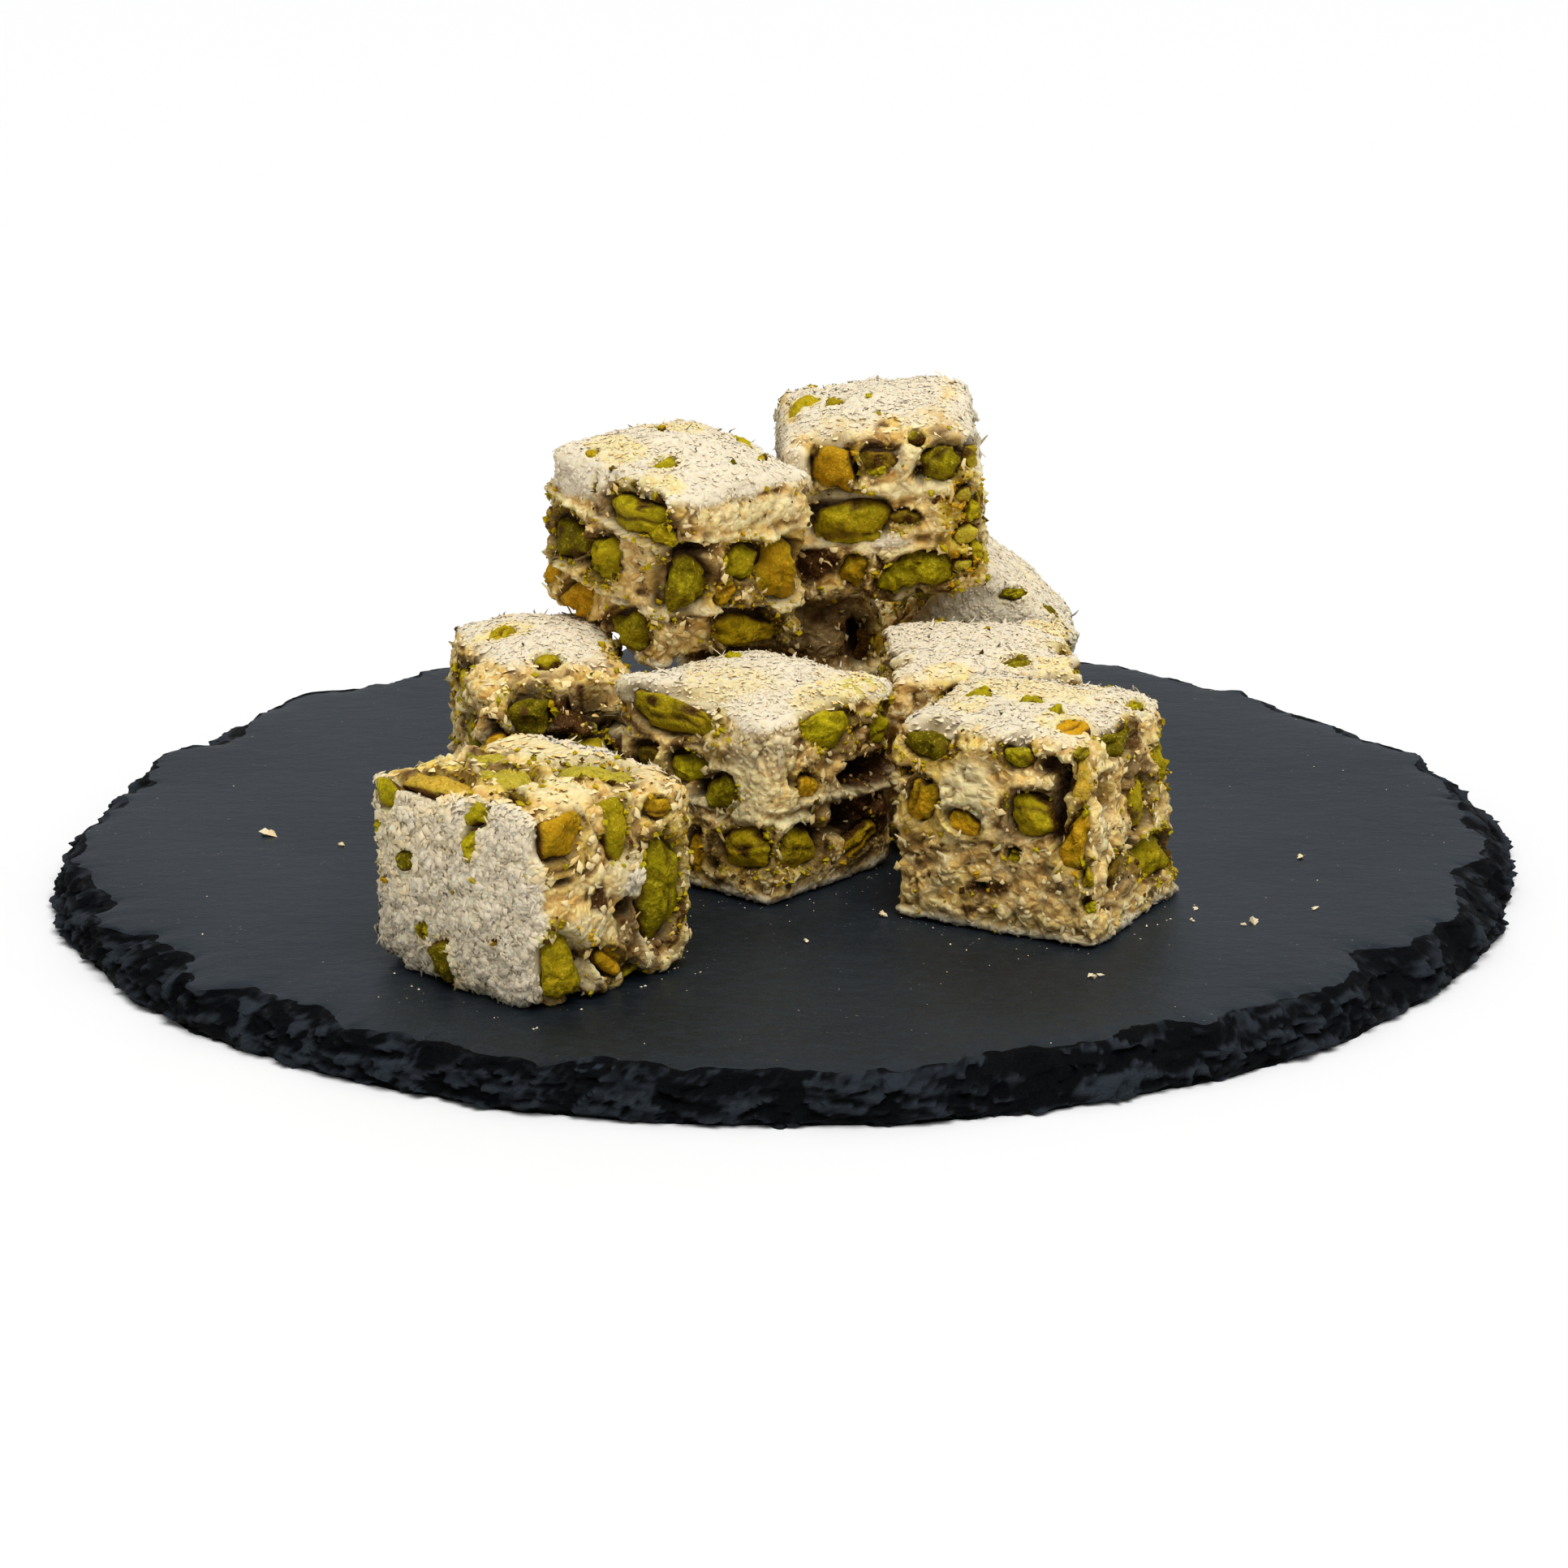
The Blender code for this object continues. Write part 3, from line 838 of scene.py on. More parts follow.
# The kernel high on the near side takes the dark kind, partly for its own dark olive colour and
# partly as painted shade.
left.kernels_on("near",
    (-3.5, 7, 8, 7, -85, "dark"), (-9, 2.5, 5, 3, 15, "amber"), (5.5, -0.5, 7, 5.5, -20, "crumb"),
    (-4, -6, 9, 6, 10, "green"))
left.kernels_on("left",
    (-10, 4.5, 5, 4.5, 70, "amber"), (-2.5, 7.5, 8, 5.5, 10, "olive"),
    (7.5, 2, 9, 5.5, -30, "green"), (-6.5, -5.5, 6.5, 5, 20, "crumb"))
left.holes_in("near",
    (-10, 4, 5, 6, 4.5), (7.5, 7, 11, 11, 6.5), (1.5, 2, 12, 5, 3), (11, 9, 6, 8, 4.5))
left.holes_in("left", (-8, -0.5, 4, 3, 2.5), (2, 0, 3, 4, 2.5))
left.patches_of("yellow", ("coat", -5, 5, 9, 7))
# painted shade: the skin patch over the near side darkens it where the piece above shades it
left.patches_of("skin", ("near", 1, 2, 26, 16))

# ------------------------------------------------------------------ right
# Only its coconut face and the edge of its left side show.

right = Lokum("lokum_right", 5, ("coat", "left"), turn=3)
right.kernels_on("coat",
    (-5.5, 13, 2.5, 2, 0, "olive", 0.6), (4.5, -8.5, 5, 3.5, 15, "green", 0.5),
    (1, 3, 1.0, 0.8, 0, "amber", 0.1))
right.kernels_on("left",
    (7, 8.5, 4.5, 6.5, 0, "amber"), (1, 9.5, 5, 3.5, 20, "green"), (-6, 7, 7, 5, -20, "olive"),
    (4, -2, 8, 5.5, 30, "green"), (-7, -5, 6, 5, 0, "crumb"))
right.holes_in("left", (1.5, 3.5, 4, 3, 2.5))
right.patches_of("yellow",
    ("coat", 11.5, 9, 7, 6), ("coat", 10, -9, 9, 6), ("coat", -6, -11.5, 8, 4))

# ------------------------------------------------------------------ back
# It carries the upper two, and little of it can be seen.

back = Lokum("lokum_back", 6, ("near",), turn=2, drape=0.6, step=0.7)
back.holes_in("near", (12.5, 8, 5, 12, 5))
# painted shade: the skin patch darkens the upper near side, which lies in shadow under the two
# pieces it carries
back.patches_of("skin", ("near", 0, 8, 34, 18, 0.7))

# ------------------------------------------------------------------ leaning
# It has rolled onto a long edge behind the others, one coconut face to the front.

leaning = Lokum("lokum_leaning", 7, ("coat", "far"), turn=4, roll=40, tipped=True)
leaning.kernels_on("far", (-5, 11, 4, 2.5, 10, "dark", 0.2))
leaning.kernels_on("coat",
    (-2.5, 10.5, 4.5, 1.8, 40, "green", 0.4), (7, 11, 3.5, 2, 10, "dark", 0.4),
    (10, 9.5, 1.6, 1.2, 0, "dark", 0.3), (2, -3.5, 1.4, 1.0, 30, "amber", 0.1),
    (-5.5, 2, 1.2, 0.7, 80, "amber", 0.1))
leaning.patches_of("coat", ("far", 0, 0, 34, 34))
leaning.patches_of("yellow", ("coat", 2, -6, 9, 5))

# ------------------------------------------------------------------ top left
# It leans back on three pieces, its coat slumped towards the left, and thin films of paste
# run round it above and below its middle.

top_left = Lokum("lokum_top_left", 8, ("coat", "near", "right"),
                 turn=-45, tilt=7, roll=6, drape=4.4, slump=4)
top_left.kernels_on("coat",
    (4.5, -8, 4, 3.5, 45, "green", 0.2), (2.5, 9.5, 6, 2.5, -20, "olive", 0.4),
    (-7, -12, 2, 2, 0, "olive", 0.2), (-3.5, -14.5, 2, 0.8, -50, "skin", 0.1),
    (-1.5, -13, 1.0, 0.6, 60, "skin", 0.1), (9, -14, 1.6, 1.4, 0, "olive", 0.1),
    (4, -13.5, 1.6, 0.8, 10, "skin", 0.1), (-5.5, 0, 1.6, 1.2, 20, "olive", 0.1),
    (9.5, 1, 1.0, 0.6, 70, "dark", 0.1), (8.5, 8.5, 1.3, 1.0, 0, "dark", 0.3))
top_left.kernels_on("near",
    (5.5, 7, 13, 6.5, 10, "olive"), (11.5, 5.5, 6.5, 3, 0, "crumb"),
    (-8.5, -1.5, 9.5, 7, 5, "dark"), (0.5, -1.5, 8, 7, 35, "crumb"),
    (-5.5, -10.5, 8, 6, 40, "ambercrumb"), (6.5, -11.5, 10, 7, 35, "green"),
    (-12, -8, 4.5, 3.5, 25, "amber"))
top_left.kernels_on("right",
    (-11, -2.5, 10.5, 9.5, 30, "green"), (0.5, 0, 7.5, 6, -15, "olive"),
    (-3, -4, 5.5, 3, 15, "amber"), (9, -2.5, 11.5, 8.5, -20, "ambercrumb"),
    (3.5, -11, 16, 7.5, -15, "ripe"))
top_left.holes_in("near",
    (-3.5, -3.5, 3, 3, 3.5), (8.5, 9.5, 6.5, 1.4, 1.4), (-9.5, -4.5, 5, 1.6, 1.8))
top_left.holes_in("right", (-11.5, 3.5, 10, 3, 3.5), (-2.5, -5.5, 3, 1.8, 2), (3, -7, 9, 1.5, 2))
top_left.patches_of("yellow",
    ("coat", -5, -9, 13, 7), ("coat", -6, 4, 12, 7), ("coat", 8, -11.5, 8, 5))
top_left.patches_of("paste", ("right", 2, 7.5, 20, 5))
top_left.patches_of("coat",
    ("near", -9, 9.5, 14, 8), ("left", 0, 10, 34, 8), ("far", 0, 10, 34, 8))
top_left.film(4.2, -0.06)
top_left.film(-6.0, -0.04)

# ------------------------------------------------------------------ top right
# It sits nearly square to the front, and broken kernels crust its right corner.

top_right = Lokum("lokum_top_right", 9, ("coat", "near", "left"),
                  turn=1, tilt=6, roll=-4, drape=2.2)
top_right.kernels_on("coat",
    (-11.5, 1, 6, 4.5, 15, "olive", 0.5), (-6.5, -1.5, 3, 2, 0, "olive", 0.3),
    (-0.5, -6.5, 1.6, 0.8, 70, "dark", 0.1), (5.5, -12.5, 2.5, 2.5, 60, "olive", 0.5))
top_right.kernels_on("near",
    (-7.5, 8, 8.5, 6.5, 85, "amber"), (-0.5, 8.5, 6, 3.5, -10, "skin"),
    (-1, 7, 3.5, 2.5, 20, "green"), (9, 7, 7, 6.5, 40, "green"), (-5.5, -1.5, 13, 8, 0, "olive"),
    (3, -1, 4.5, 2.5, -10, "skin"), (4.5, -10.5, 12.5, 7.5, 10, "green"),
    (0.5, -11, 6, 5, 40, "crumb"), (-5.5, -9, 5.5, 4, 75, "ambercrumb"),
    (12, 2, 3, 2.5, 20, "pale", 0.0), (13.5, -1, 4, 2.5, 70, "crumb", 0.0),
    (12, -4.5, 4.5, 3.5, 35, "pale", 0.1), (14, -7, 3.5, 3, 80, "crumb", 0.1),
    (11.5, -9.5, 3, 2.5, 0, "pale", 0.0))
top_right.holes_in("near",
    (-7, 3.5, 9, 2, 3), (-4, 7, 1.5, 5, 3), (5.5, 6, 2, 4.5, 3), (-11, 8, 1.6, 5.5, 2),
    (9.5, -11, 3, 2, 2.5))
top_right.patches_of("coat",
    ("near", -13, 9, 4, 8), ("near", 0, -4, 7, 2), ("right", 0, 9, 34, 12),
    ("left", 0, 8, 34, 10), ("far", 0, 9, 34, 10))
top_right.patches_of("skin", ("near", -11, -7, 8, 6))
top_right.patches_of("yellow", ("near", 12.5, -2.5, 9, 22))
top_right.patches_of("green", ("near", 12.5, -2.5, 8, 21, 0.55))
top_right.patches_of("paste",
    ("near", 1, 4, 9, 2), ("near", 7, 3.5, 9, 3), ("near", -0.5, -5, 9, 3),
    ("near", 4, 8.5, 5, 4))
top_right.film(3.2, -0.03)
top_right.film(-3.4, 0.04)

lokum_material = lokum_paint()
for piece in Lokum.every:
    piece.fill_unseen()
    piece.sculpt()
    piece.body(lokum_material)

# ================================================================== pistachio kernels
# Shelled pistachios, whole, halved and broken. Roasting has turned some from green to olive and
# amber. The papery purple-brown skin is still on where a kernel is pressed into the paste,
# and it is rubbed or cut off where the kernel shows.

SPOKES = 26                     # points round a kernel
KERNELS_APART = 11.0            # how far from one another the kernels take their noise
# how far out each ring of points is, and how far it is dropped below the shown face
RINGS = ((0.004, 0), (0.16, 0), (0.31, 0), (0.45, 0), (0.58, 0), (0.70, 0), (0.80, 0), (0.89, 0),
         (0.96, 0), (1.0, 0.2), (1.02, 1.1), (0.96, 2.6))
# kind: hue from green to amber, how domed its shown face is, how broken it is
KINDS = {
    "dark": (0.0, 0.7, 0.8), "green": (0.22, 0.7, 0.8), "olive": (0.50, 0.7, 0.45),
    "amber": (0.88, 0.45, 0.40), "crumb": (0.42, 0.7, 1.0), "ambercrumb": (0.88, 0.5, 0.9),
    "skin": (0.5, 0.3, 0.6), "slit": (0.18, 0.6, 0.4), "pale": (0.36, 0.5, 0.5),
    "paleamber": (0.86, 0.4, 0.3), "ripe": (0.76, 0.7, 0.45),
}


def kernel_shape(long, wide, kind, hand, seed):
    """One kernel as rings of points: x and y across it, its height, its skin and its hue."""
    hue, dome, broken = KINDS[kind]
    reach, drop = (np.repeat([ring[i] for ring in RINGS], SPOKES) for i in (0, 1))
    angle = np.tile(np.linspace(0, 2 * math.pi, SPOKES, endpoint=False), len(RINGS))
    corners = 4.5 if "amber" in kind else 2.5
    square = (np.abs(np.cos(angle)) ** corners + np.abs(np.sin(angle)) ** corners) ** (-1 / corners)
    outline = np.ones(len(angle))
    for waves, most in ((2, 0.05), (3, 0.10), (5, 0.06), (7, 0.04)):
        swing = hand.uniform(0.2, 1) * most * (1 + broken)
        outline += swing * np.cos(waves * angle + hand.uniform(0, 6.3))
    x = reach * square * outline * np.cos(angle) * long / 2
    y = reach * square * outline * np.sin(angle) * wide / 2
    flat = np.stack([x, y, drop], axis=1) + seed * KERNELS_APART
    height = dome * wide * 0.55 * (np.sqrt(1 - 0.9 * np.minimum(reach, 1) ** 2) - 1)
    height -= 0.5 * np.minimum(reach, 1) ** 7
    height += 0.22 * bumps(flat, 2.8, seed) + 0.12 * bumps(flat, 1.0, seed + 1)
    chips = flat + bumps(flat, 2.0, seed + 7)[:, None] * 0.5
    height += (0.30 + 0.40 * broken) * facets(chips, 3.0, seed + 8)
    grit = min(2.0, 0.3 * wide)
    height += broken * 0.9 * (0.45 - pebbles(flat, grit, seed + 2))
    height += broken * 0.4 * (0.45 - pebbles(flat, grit / 2, seed + 3))
    height += x / long * hand.uniform(-0.7, 0.7) + y / wide * hand.uniform(-0.3, 0.9)
    split = np.zeros(len(x))
    if kind == "slit" or (kind in ("olive", "amber", "green") and hand.random() < 0.45):
        line = hand.uniform(-0.2, 0.25) * wide + 0.25 * np.sin(x * 0.8 + seed)
        split = np.exp(-((y - line) / 0.28) ** 2) * ease(np.abs(x) / long, 0.5, 0.3)
        height -= 0.45 * split
    height -= drop
    ragged = bumps(flat, 1.6, seed + 5)
    husk = ease(reach + 0.12 * ragged, 0.84, 0.95)
    husk = np.maximum(husk, 0.8 * split)
    if kind in ("olive", "dark", "skin"):
        husk = np.maximum(husk, ease(bumps(flat, 2.6, seed + 6), 0.35, 0.6))
    if kind == "skin":
        husk = np.maximum(husk, 0.75)
    if broken > 0.8:
        husk = husk * 0.35
    return x, y, height, husk, hue + 0.14 * (0.5 - reach) * (kind != "dark")


def all_kernels():
    """Every kernel of every piece as one set of arrays, with its colour masks."""
    points, faces = [], []
    masks = {"hue": [], "tone": [], "husk": [], "dust": []}
    grid = grid_faces(len(RINGS), SPOKES)[:, ::-1]
    for piece in Lokum.every:
        hand = np.random.default_rng(100 + piece.seed)
        tree = BVHTree.FromPolygons(piece.points.tolist(), piece.faces.tolist())
        for side, across, up, long, wide, turn, kind, proud in piece.kernels:
            seed = len(points) % 97
            x, y, height, husk, hue = kernel_shape(long, wide, kind, hand, seed)
            middle, out, right_way, up_way = piece.spot(side, across, up)
            angle = math.radians(turn)
            x_axis = right_way * math.cos(angle) + up_way * math.sin(angle)
            y_axis = np.cross(out, x_axis)
            flat = middle + x[:, None] * x_axis + y[:, None] * y_axis
            proud += 0.2 if side in CUT_SIDES else 0.4
            placed = []
            for place, rise in zip(flat, height + proud):
                near, normal, _, _ = tree.find_nearest(Vector(place))
                placed.append(near * 0.8 + Vector(place) * 0.2 + normal * rise)
            placed = np.array(placed)
            placed[:, 2] = np.maximum(placed[:, 2], piece.floor())
            faces.append(grid + len(points) * len(x))
            points.append(placed)
            masks["hue"].append(np.clip(hue + hand.uniform(-0.12, 0.12), 0, 1))
            masks["tone"].append(np.full(len(x), hand.uniform(0.1, 1) if kind != "dark" else 0.0))
            masks["husk"].append(husk)
            masks["dust"].append(np.full(len(x), 0.26 if "pale" in kind else 0.0))
    masks = {name: np.concatenate(values) for name, values in masks.items()}
    points = np.concatenate(points) * MM
    return build_mesh("pistachio_kernels", points, np.concatenate(faces), **masks)


def kernel_paint():
    """Green to amber flesh, cut or rubbed, with rags of papery skin."""
    paint = Paint("pistachio", IOR=1.4, Specular_IOR_Level=0.12)
    hue, tone, husk = paint.mask("hue"), paint.mask("tone"), paint.mask("husk")
    blotch = paint.noise(1.8, 3, 0.6)
    fine = paint.noise(0.4, 3, 0.65)
    hue = hue + (blotch - 0.5) * 0.6
    skin = paint.mix(blotch, (0.035, 0.014, 0.006), (0.17, 0.08, 0.022))
    colour = paint.over(
        paint.mix(hue.between(0.0, 0.35), (0.19, 0.155, 0.003), (0.54, 0.45, 0.010)),
        (hue.between(0.35, 0.60), (0.58, 0.42, 0.012)),
        (hue.between(0.60, 0.95), (0.68, 0.37, 0.015)),
        ((1 - tone) * 0.40, (0.14, 0.10, 0.003)),
        # painted highlights and painted shade: pale flecks, then dark flecks and blotches,
        # scattered by noise over the flesh
        (fine.between(0.53, 0.70) * 0.5, (0.90, 0.74, 0.11)),
        (fine.between(0.42, 0.28) * 0.5, (0.10, 0.06, 0.003)),
        (blotch.between(0.48, 0.36) * 0.45, (0.16, 0.10, 0.004)),
        (paint.mask("dust") * fine.between(0.25, 0.6), (0.95, 0.79, 0.22)),
        (husk * fine.between(0.2, 0.5), skin),
    )
    height = blotch * 0.8 + fine * 0.5 + paint.cells(0.8) * 0.4
    roughness = fine * 0.25 + 0.42
    return paint.finish(Base_Color=colour, Roughness=roughness, Normal=paint.bump(height, 0.40))


kernel_material = kernel_paint()
add_piece("pistachio_kernels", all_kernels(), kernel_material)

# ================================================================== grated coconut
# Desiccated coconut: short flat shreds and crumbs of white flesh. They mat together on the
# coated faces, hang over the edges, and stick out of the paste on the cut sides.


class Surface:
    """The cut pieces' whole surface as one list of squares, to sow things on."""

    def __init__(self):
        squares = []
        for piece in Lokum.every:
            first = piece.faces[:, 0]
            outward = out_of_squares(piece.shaped, piece.faces)
            squares.append({
                "middles": piece.shaped[piece.faces].mean(1),
                "areas": lengths(outward)[:, 0] / 2,
                "normals": piece.normals[first],
                "coat": piece.masks["coat"][first],
                "yellow": piece.masks["yellow"][first],
                "green": piece.masks["green"][first],
                "bare": piece.bare[first],
                "below_face": (piece.half[2] - np.abs(piece.local[:, 2]))[first],
                "fluff": np.full(len(first), piece.fluff),
            })
        for name in squares[0]:
            setattr(self, name, np.concatenate([values[name] for values in squares]))

    def seen(self):
        """More is sown where it shows: on the heap's front and top, and less underneath."""
        forward = -self.normals[:, 1] * 0.5 + self.normals[:, 2] * 0.6
        return 0.30 + 0.70 * ease(forward, -0.35, 0.15)

    def sow(self, count, weight, hand):
        """The squares that so many small things lie on, more of them where the weight is larger."""
        share = self.areas * weight
        chosen = hand.choice(len(share), count, p=share / share.sum())
        sown = copy.copy(self)
        for name, values in vars(self).items():
            setattr(sown, name, values[chosen])
        return sown


surface = Surface()


def leaning_normals(normals, points, middles, share):
    """Each small thing takes the light much as the surface under it does, and is a little round."""
    outward = points - middles[:, None]
    mixed = normals[:, None] * (1 - share) + outward / lengths(outward) * share
    return (mixed / lengths(mixed)).reshape(-1, 3)


def lying_axes(normals, lift, hand):
    """Three axes for each small thing: along it, beside it, and out of it. Lift tips it up."""
    free = hand.normal(size=normals.shape)
    flat = free - normals * (free * normals).sum(1, keepdims=True)
    flat /= lengths(flat)
    along = flat + normals * lift[:, None]
    along /= lengths(along)
    beside = np.cross(normals, along)
    beside /= lengths(beside)
    return along, beside, np.cross(along, beside)


SHREDS = 9000
SHRED_LIGHT = 0.30              # how round a shred takes the light: 0 is flat on the surface


def shreds(hand):
    """Thin bent strips of three cross-sections each, as points, faces and masks."""
    weight = surface.seen() * (1 - surface.bare) * (surface.coat + (1 - surface.coat) * 0.30)
    weight *= 1 + 1.6 * ease(surface.below_face, 3.4, 1.2) * ease(surface.below_face, 0.2, 1.0)
    sown = surface.sow(SHREDS, weight, hand)
    on_coat = sown.coat > 0.5

    def between(low, high):
        return hand.uniform(low, high, SHREDS)[:, None]

    loose = hand.random(SHREDS) < np.where(on_coat, 0.04 + 0.4 * sown.fluff, 0.10)
    lift = np.where(loose, hand.uniform(0.3, 1.2, SHREDS), hand.uniform(-0.06, 0.12, SHREDS))
    way, beside, face = lying_axes(sown.normals, lift, hand)
    long = hand.gamma(3.0, 0.30, SHREDS) * np.where(on_coat, 1.0, 1.3)
    long = long.clip(0.4, 3.2)[:, None]
    wide = between(0.12, 0.30) * np.where(on_coat, 1.0, 1.5)[:, None]
    thick = wide * between(0.30, 0.6)
    bend = between(-0.9, 0.9) * long
    sag = between(-0.4, 0.2) * long
    middle = sown.middles + sown.normals * (thick * 0.6 + between(-0.05, 0.15))
    rows = []
    for share, girth in ((-0.5, 0.55), (0.0, 1.0), (0.5, 0.45)):
        centre = middle + way * long * (share + np.where(loose, 0.35, 0)[:, None])
        centre = centre + beside * bend * (0.25 - share * share) + face * sag * (share * share)
        for angle in (math.pi / 2, math.pi * 7 / 6, math.pi * 11 / 6):
            spoke = beside * math.cos(angle) * wide + face * math.sin(angle) * thick
            rows.append(centre + spoke * girth)
    points = np.stack(rows, axis=1)
    each = len(rows)
    faces = grid_faces(3, 3)[None] + np.arange(SHREDS)[:, None, None] * each
    masks = {
        "tone": np.repeat(hand.random(SHREDS), each),
        "tint": np.repeat(np.clip(sown.yellow * 0.9 + 0.85 * (1 - sown.coat), 0, 1), each),
        "normals": leaning_normals(sown.normals, points, points.mean(1), SHRED_LIGHT),
    }
    return points.reshape(-1, 3), faces.reshape(-1, 4), masks


# A crumb is an eight-sided lump, pulled out of shape
CRUMB_CORNERS = np.array(
    [(1, 0, 0), (-1, 0, 0), (0, 1, 0), (0, -1, 0), (0, 0, 1), (0, 0, -1)], float)
CRUMB_FACES = np.array(
    [(0, 2, 4), (2, 1, 4), (1, 3, 4), (3, 0, 4), (2, 0, 5), (1, 2, 5), (3, 1, 5), (0, 3, 5)])
CRUMB_LIGHT = 0.40              # how round a crumb takes the light


def crumbs(middles, normals, sizes, flat, hand):
    """Lumps of the given sizes at these places, each a little different."""
    count = len(middles)
    axes = np.stack(lying_axes(normals, hand.uniform(-0.3, 0.3, count), hand), axis=1)
    jitter = hand.uniform(0.65, 1.35, (count, *CRUMB_CORNERS.shape))
    skew = hand.uniform(-0.28, 0.28, (count, *CRUMB_CORNERS.shape))
    local = (CRUMB_CORNERS[None] * jitter + skew) * sizes[:, None, None] * (1.0, 0.72, flat)
    points = middles[:, None] + np.einsum("nki,nij->nkj", local, axes)
    faces = CRUMB_FACES[None] + np.arange(count)[:, None, None] * len(CRUMB_CORNERS)
    leaning = leaning_normals(normals, points, middles, CRUMB_LIGHT)
    return points.reshape(-1, 3), faces.reshape(-1, 3), leaning


def add_crumbs(name, lumps, material, soft=False, **masks):
    """All the crumbs of one kind as one mesh. A mask has one number for each crumb."""
    points, faces, leaning = lumps
    for mask, values in masks.items():
        masks[mask] = np.repeat(values, len(CRUMB_CORNERS))
    normals = leaning if soft else None
    mesh = build_mesh(name, points * MM, faces, smooth=soft, normals=normals, **masks)
    add_piece(name, mesh, material)


def coconut_paint():
    """White flesh, or the same with paste rubbed into it."""
    paint = Paint("grated_coconut", IOR=1.4, Specular_IOR_Level=0.25)
    tone, tint = paint.mask("tone"), paint.mask("tint")
    fine = paint.noise(0.5, 2, 0.6)
    white = paint.mix(tone, (0.82, 0.705, 0.495), (0.90, 0.79, 0.605))
    pasty = paint.mix(tone.between(0.0, 0.6), (0.87, 0.60, 0.22), (0.98, 0.80, 0.43))
    colour = paint.over(white, (tint, pasty), (fine.between(0.4, 0.25) * 0.2, (0.60, 0.44, 0.20)))
    roughness = fine * 0.2 + 0.48
    return paint.finish(Base_Color=colour, Roughness=roughness, Normal=paint.bump(fine, 0.05))


coconut_material = coconut_paint()
hand = np.random.default_rng(77)
shred_points, shred_faces, shred_masks = shreds(hand)
shred_mesh = build_mesh("coconut_shreds", shred_points * MM, shred_faces, **shred_masks)
add_piece("coconut_shreds", shred_mesh, coconut_material)

COCONUT_CRUMBS = 20000
weight = surface.coat * (0.7 + 0.9 * surface.fluff) + 0.09 * (1 - surface.coat)
weight *= surface.seen() * (1 - surface.bare)
sown = surface.sow(COCONUT_CRUMBS, weight, hand)
sizes = hand.gamma(6, 0.045 + 0.03 * (1 - sown.coat) + 0.035 * sown.fluff).clip(0.12, 1.0)
places = sown.middles + sown.normals * sizes[:, None] * 0.12
add_crumbs(
    "coconut_crumbs", crumbs(places, sown.normals, sizes, 0.45, hand), coconut_material, soft=True,
    tone=hand.random(COCONUT_CRUMBS),
    tint=np.clip(sown.yellow * 0.9 + (1 - sown.coat), 0, 1),
)

# ================================================================== pistachio crumbs
# What broke off the kernels under the knife: green and yellow crumbs, thick round the broken
# kernels and thin everywhere else, with a few flakes of brown skin.

NUT_CRUMBS = 6000
weight = surface.seen() * (1 - surface.coat) * (0.03 + 2.2 * surface.green + 0.10 * surface.yellow)
weight += 0.003 * surface.coat
sown = surface.sow(NUT_CRUMBS, weight, hand)
sizes = hand.gamma(4, 0.085, NUT_CRUMBS).clip(0.15, 0.9)
places = sown.middles + sown.normals * sizes[:, None] * 0.4
add_crumbs(
    "pistachio_crumbs", crumbs(places, sown.normals, sizes, 0.7, hand), kernel_material,
    hue=np.clip(0.48 + 0.5 * sown.yellow + hand.normal(0, 0.18, NUT_CRUMBS), 0, 1),
    tone=hand.uniform(0.4, 1, NUT_CRUMBS),
    husk=(hand.random(NUT_CRUMBS) < 0.13).astype(float),
)

# ================================================================== loose crumbs on the board
# What fell off when the pieces were set down: a few crumbs of coconut and paste, dust of the
# same close round the pieces, and a little of it over the whole board.

BOARD_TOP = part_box("slate_board")[1].z / MM
# where the larger ones lie on the board, and their size
FALLEN = (
    (-79, -10, 1.2), (-67, -15, 0.6), (75, -20, 0.7), (74, -44, 0.6), (64, -50, 1.0),
    (41, -72, 0.8), (13, -47, 0.9), (2, -58, 0.6), (56, -49, 0.5), (57, -44, 0.5), (-33, -92, 0.4),
)
DUST_ROUND_PIECE = 90
DUST_ON_BOARD = 420
DUST_REACH = 103                # how far out on the board it lies


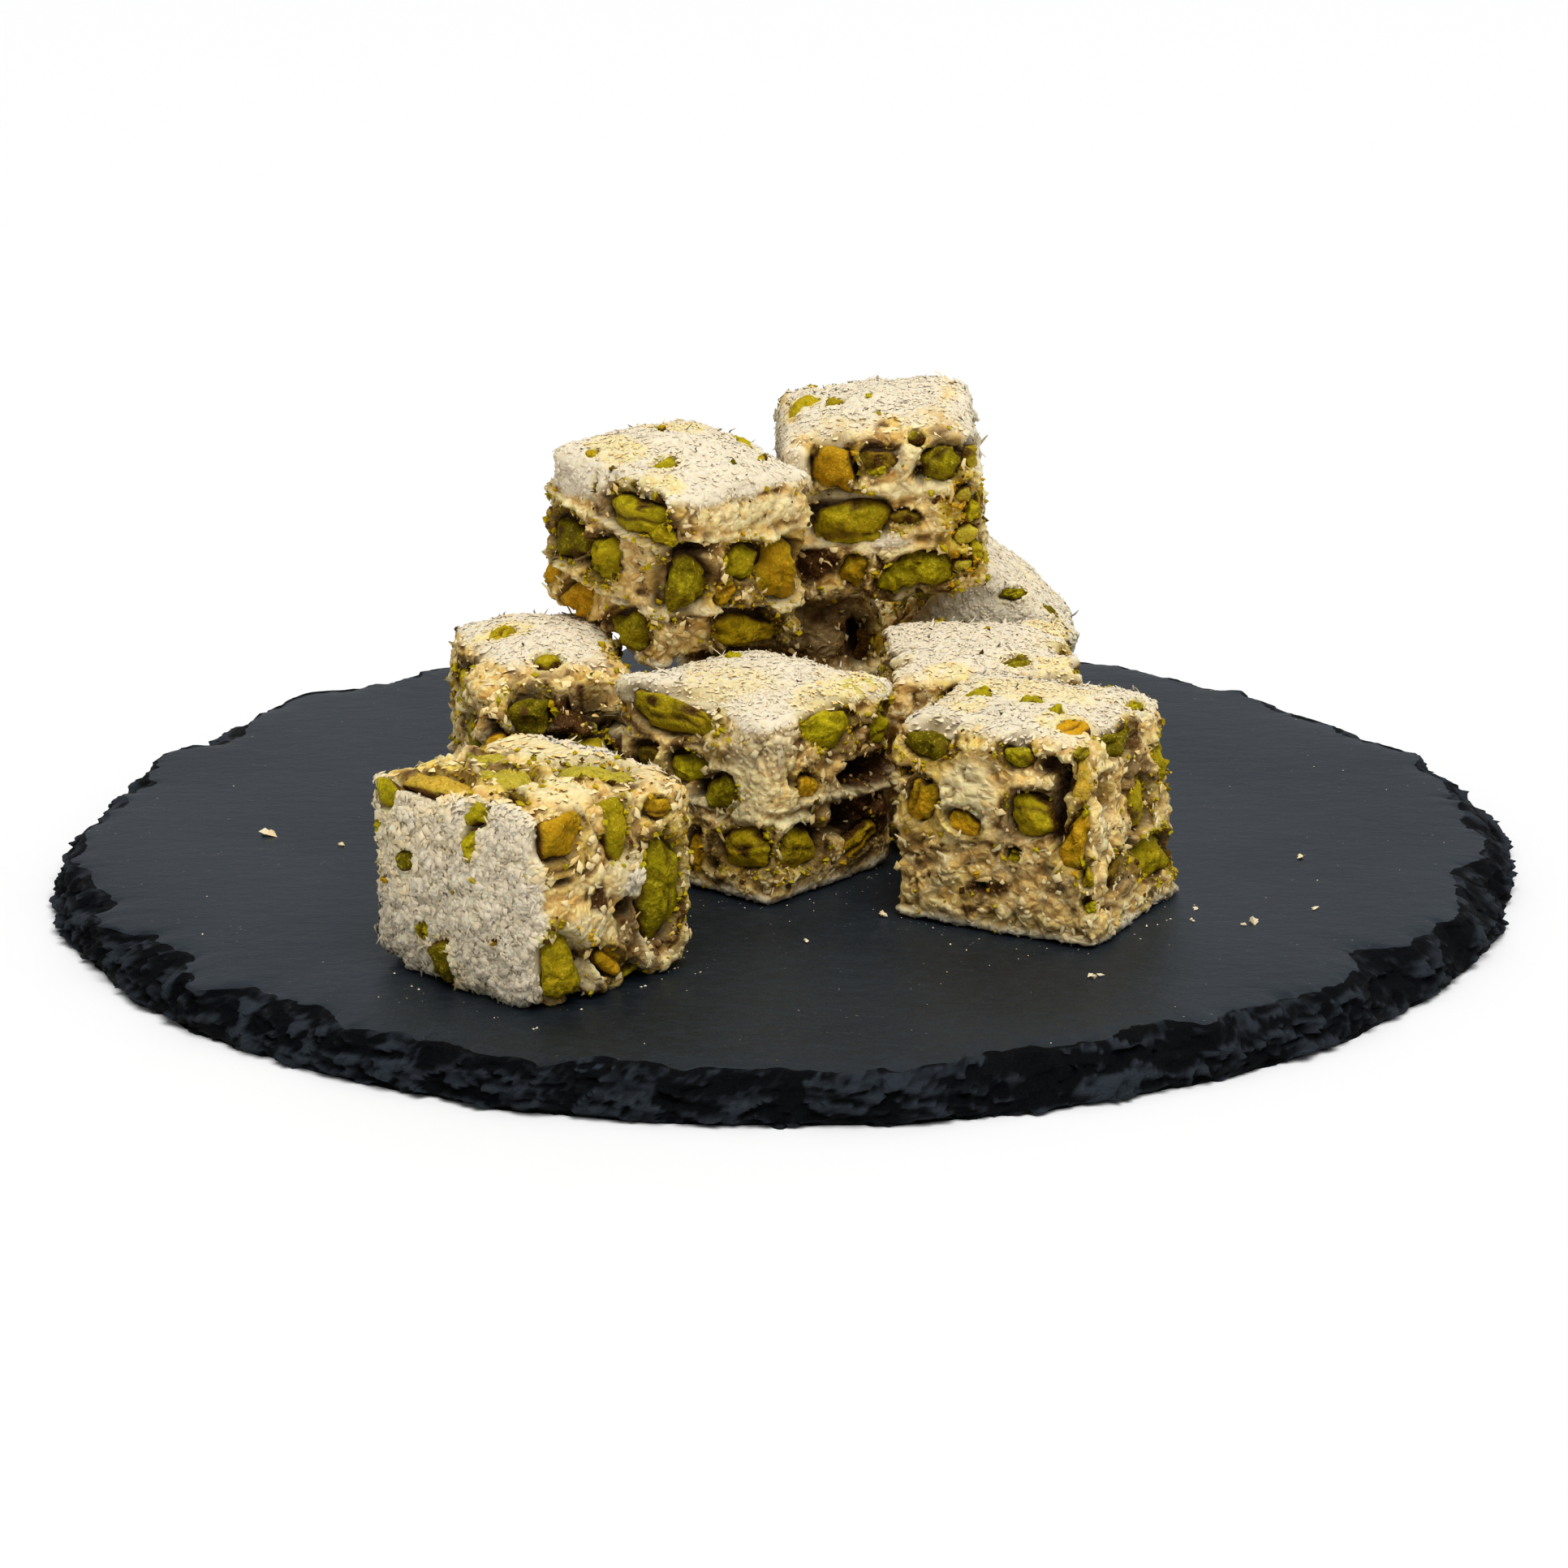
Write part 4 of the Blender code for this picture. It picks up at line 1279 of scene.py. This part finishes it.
def fallen(hand):
    """Places and sizes of what has fallen on the board."""
    places, sizes = [], []

    def drop(x, y, angle, far, size):
        places.append((x + far * math.cos(angle), y + far * math.sin(angle), 0))
        sizes.append(size)

    for x, y, size in FALLEN:
        for _ in range(3):
            places.append((x + hand.normal(0, size * 0.5), y + hand.normal(0, size * 0.5), 0))
            sizes.append(size * hand.uniform(0.45, 0.9))
    for piece in Lokum.every:
        if piece.points[:, 2].min() > BOARD_TOP + 5:
            continue
        low, high = piece.points.min(0), piece.points.max(0)
        x, y, _ = (low + high) / 2
        reach = (high - low)[:2].max() / 2
        for _ in range(DUST_ROUND_PIECE):
            angle, far = hand.uniform(0, 2 * math.pi), reach + hand.exponential(2.4) - 3
            drop(x, y, angle, far, hand.gamma(3, 0.035))
    for _ in range(DUST_ON_BOARD):
        angle, far = hand.uniform(0, 2 * math.pi), DUST_REACH * math.sqrt(hand.uniform(0, 1))
        drop(0, 0, angle, far, hand.gamma(3, 0.022))
    places, sizes = np.array(places), np.array(sizes).clip(0.04, 1.3)
    places[:, 2] = BOARD_TOP + sizes * 0.5
    return places, sizes


hand = np.random.default_rng(31)
places, sizes = fallen(hand)
upward = np.tile((0.0, 0.0, 1.0), (len(places), 1))
add_crumbs(
    "loose_crumbs", crumbs(places, upward, sizes, 0.6, hand), coconut_material,
    tone=hand.random(len(places)), tint=hand.random(len(places)) * 0.5,
)

# ================================================================== floor, light and camera
# A pale table, a big soft light overhead, and the eye low in front of the board.


def studio_floor():
    mesh = bpy.data.meshes.new("floor")
    mesh.from_pydata([(-3, -3, 0), (3, -3, 0), (3, 3, 0), (-3, 3, 0)], [], [(0, 1, 2, 3)])
    mesh.materials.append(Paint("floor", Roughness=0.9).finish(Base_Color=(0.90, 0.90, 0.90)))
    new_object("floor", mesh)


def far_lamp(name, strength, spread, tip):
    """A wide lamp a long way off. Its spread and how it is tipped are in degrees."""
    light = bpy.data.lights.new(name, "SUN")
    light.energy = strength
    light.angle = math.radians(spread)
    new_object(name, light).rotation_euler = [math.radians(angle) for angle in tip]


studio_floor()
far_lamp("overhead", 2.26, 52, (24, 9, 0))
far_lamp("behind", 0.13, 60, (-62, 0, 0))

world = bpy.data.worlds.new("studio")
world.use_nodes = True
background = world.node_tree.nodes["Background"]
background.inputs["Color"].default_value = (1, 1, 1, 1)
background.inputs["Strength"].default_value = 0.28
bpy.context.scene.world = world
bpy.context.scene.view_settings.view_transform = "Standard"
bpy.context.scene.view_settings.look = "Medium High Contrast"

EYE_DISTANCE = 0.560            # from the middle of the board
EYE_HEIGHT = math.radians(18)
lens = bpy.data.cameras.new("camera")
lens.lens = 83.7
lens.sensor_width = 36
lens.clip_start = 0.02
camera = new_object("camera", lens)
camera.location = (0, -EYE_DISTANCE * math.cos(EYE_HEIGHT), EYE_DISTANCE * math.sin(EYE_HEIGHT))
aim = Vector((-0.00127, 0, 0.0117))
camera.rotation_euler = (aim - camera.location).to_track_quat("-Z", "Y").to_euler()
bpy.context.scene.camera = camera
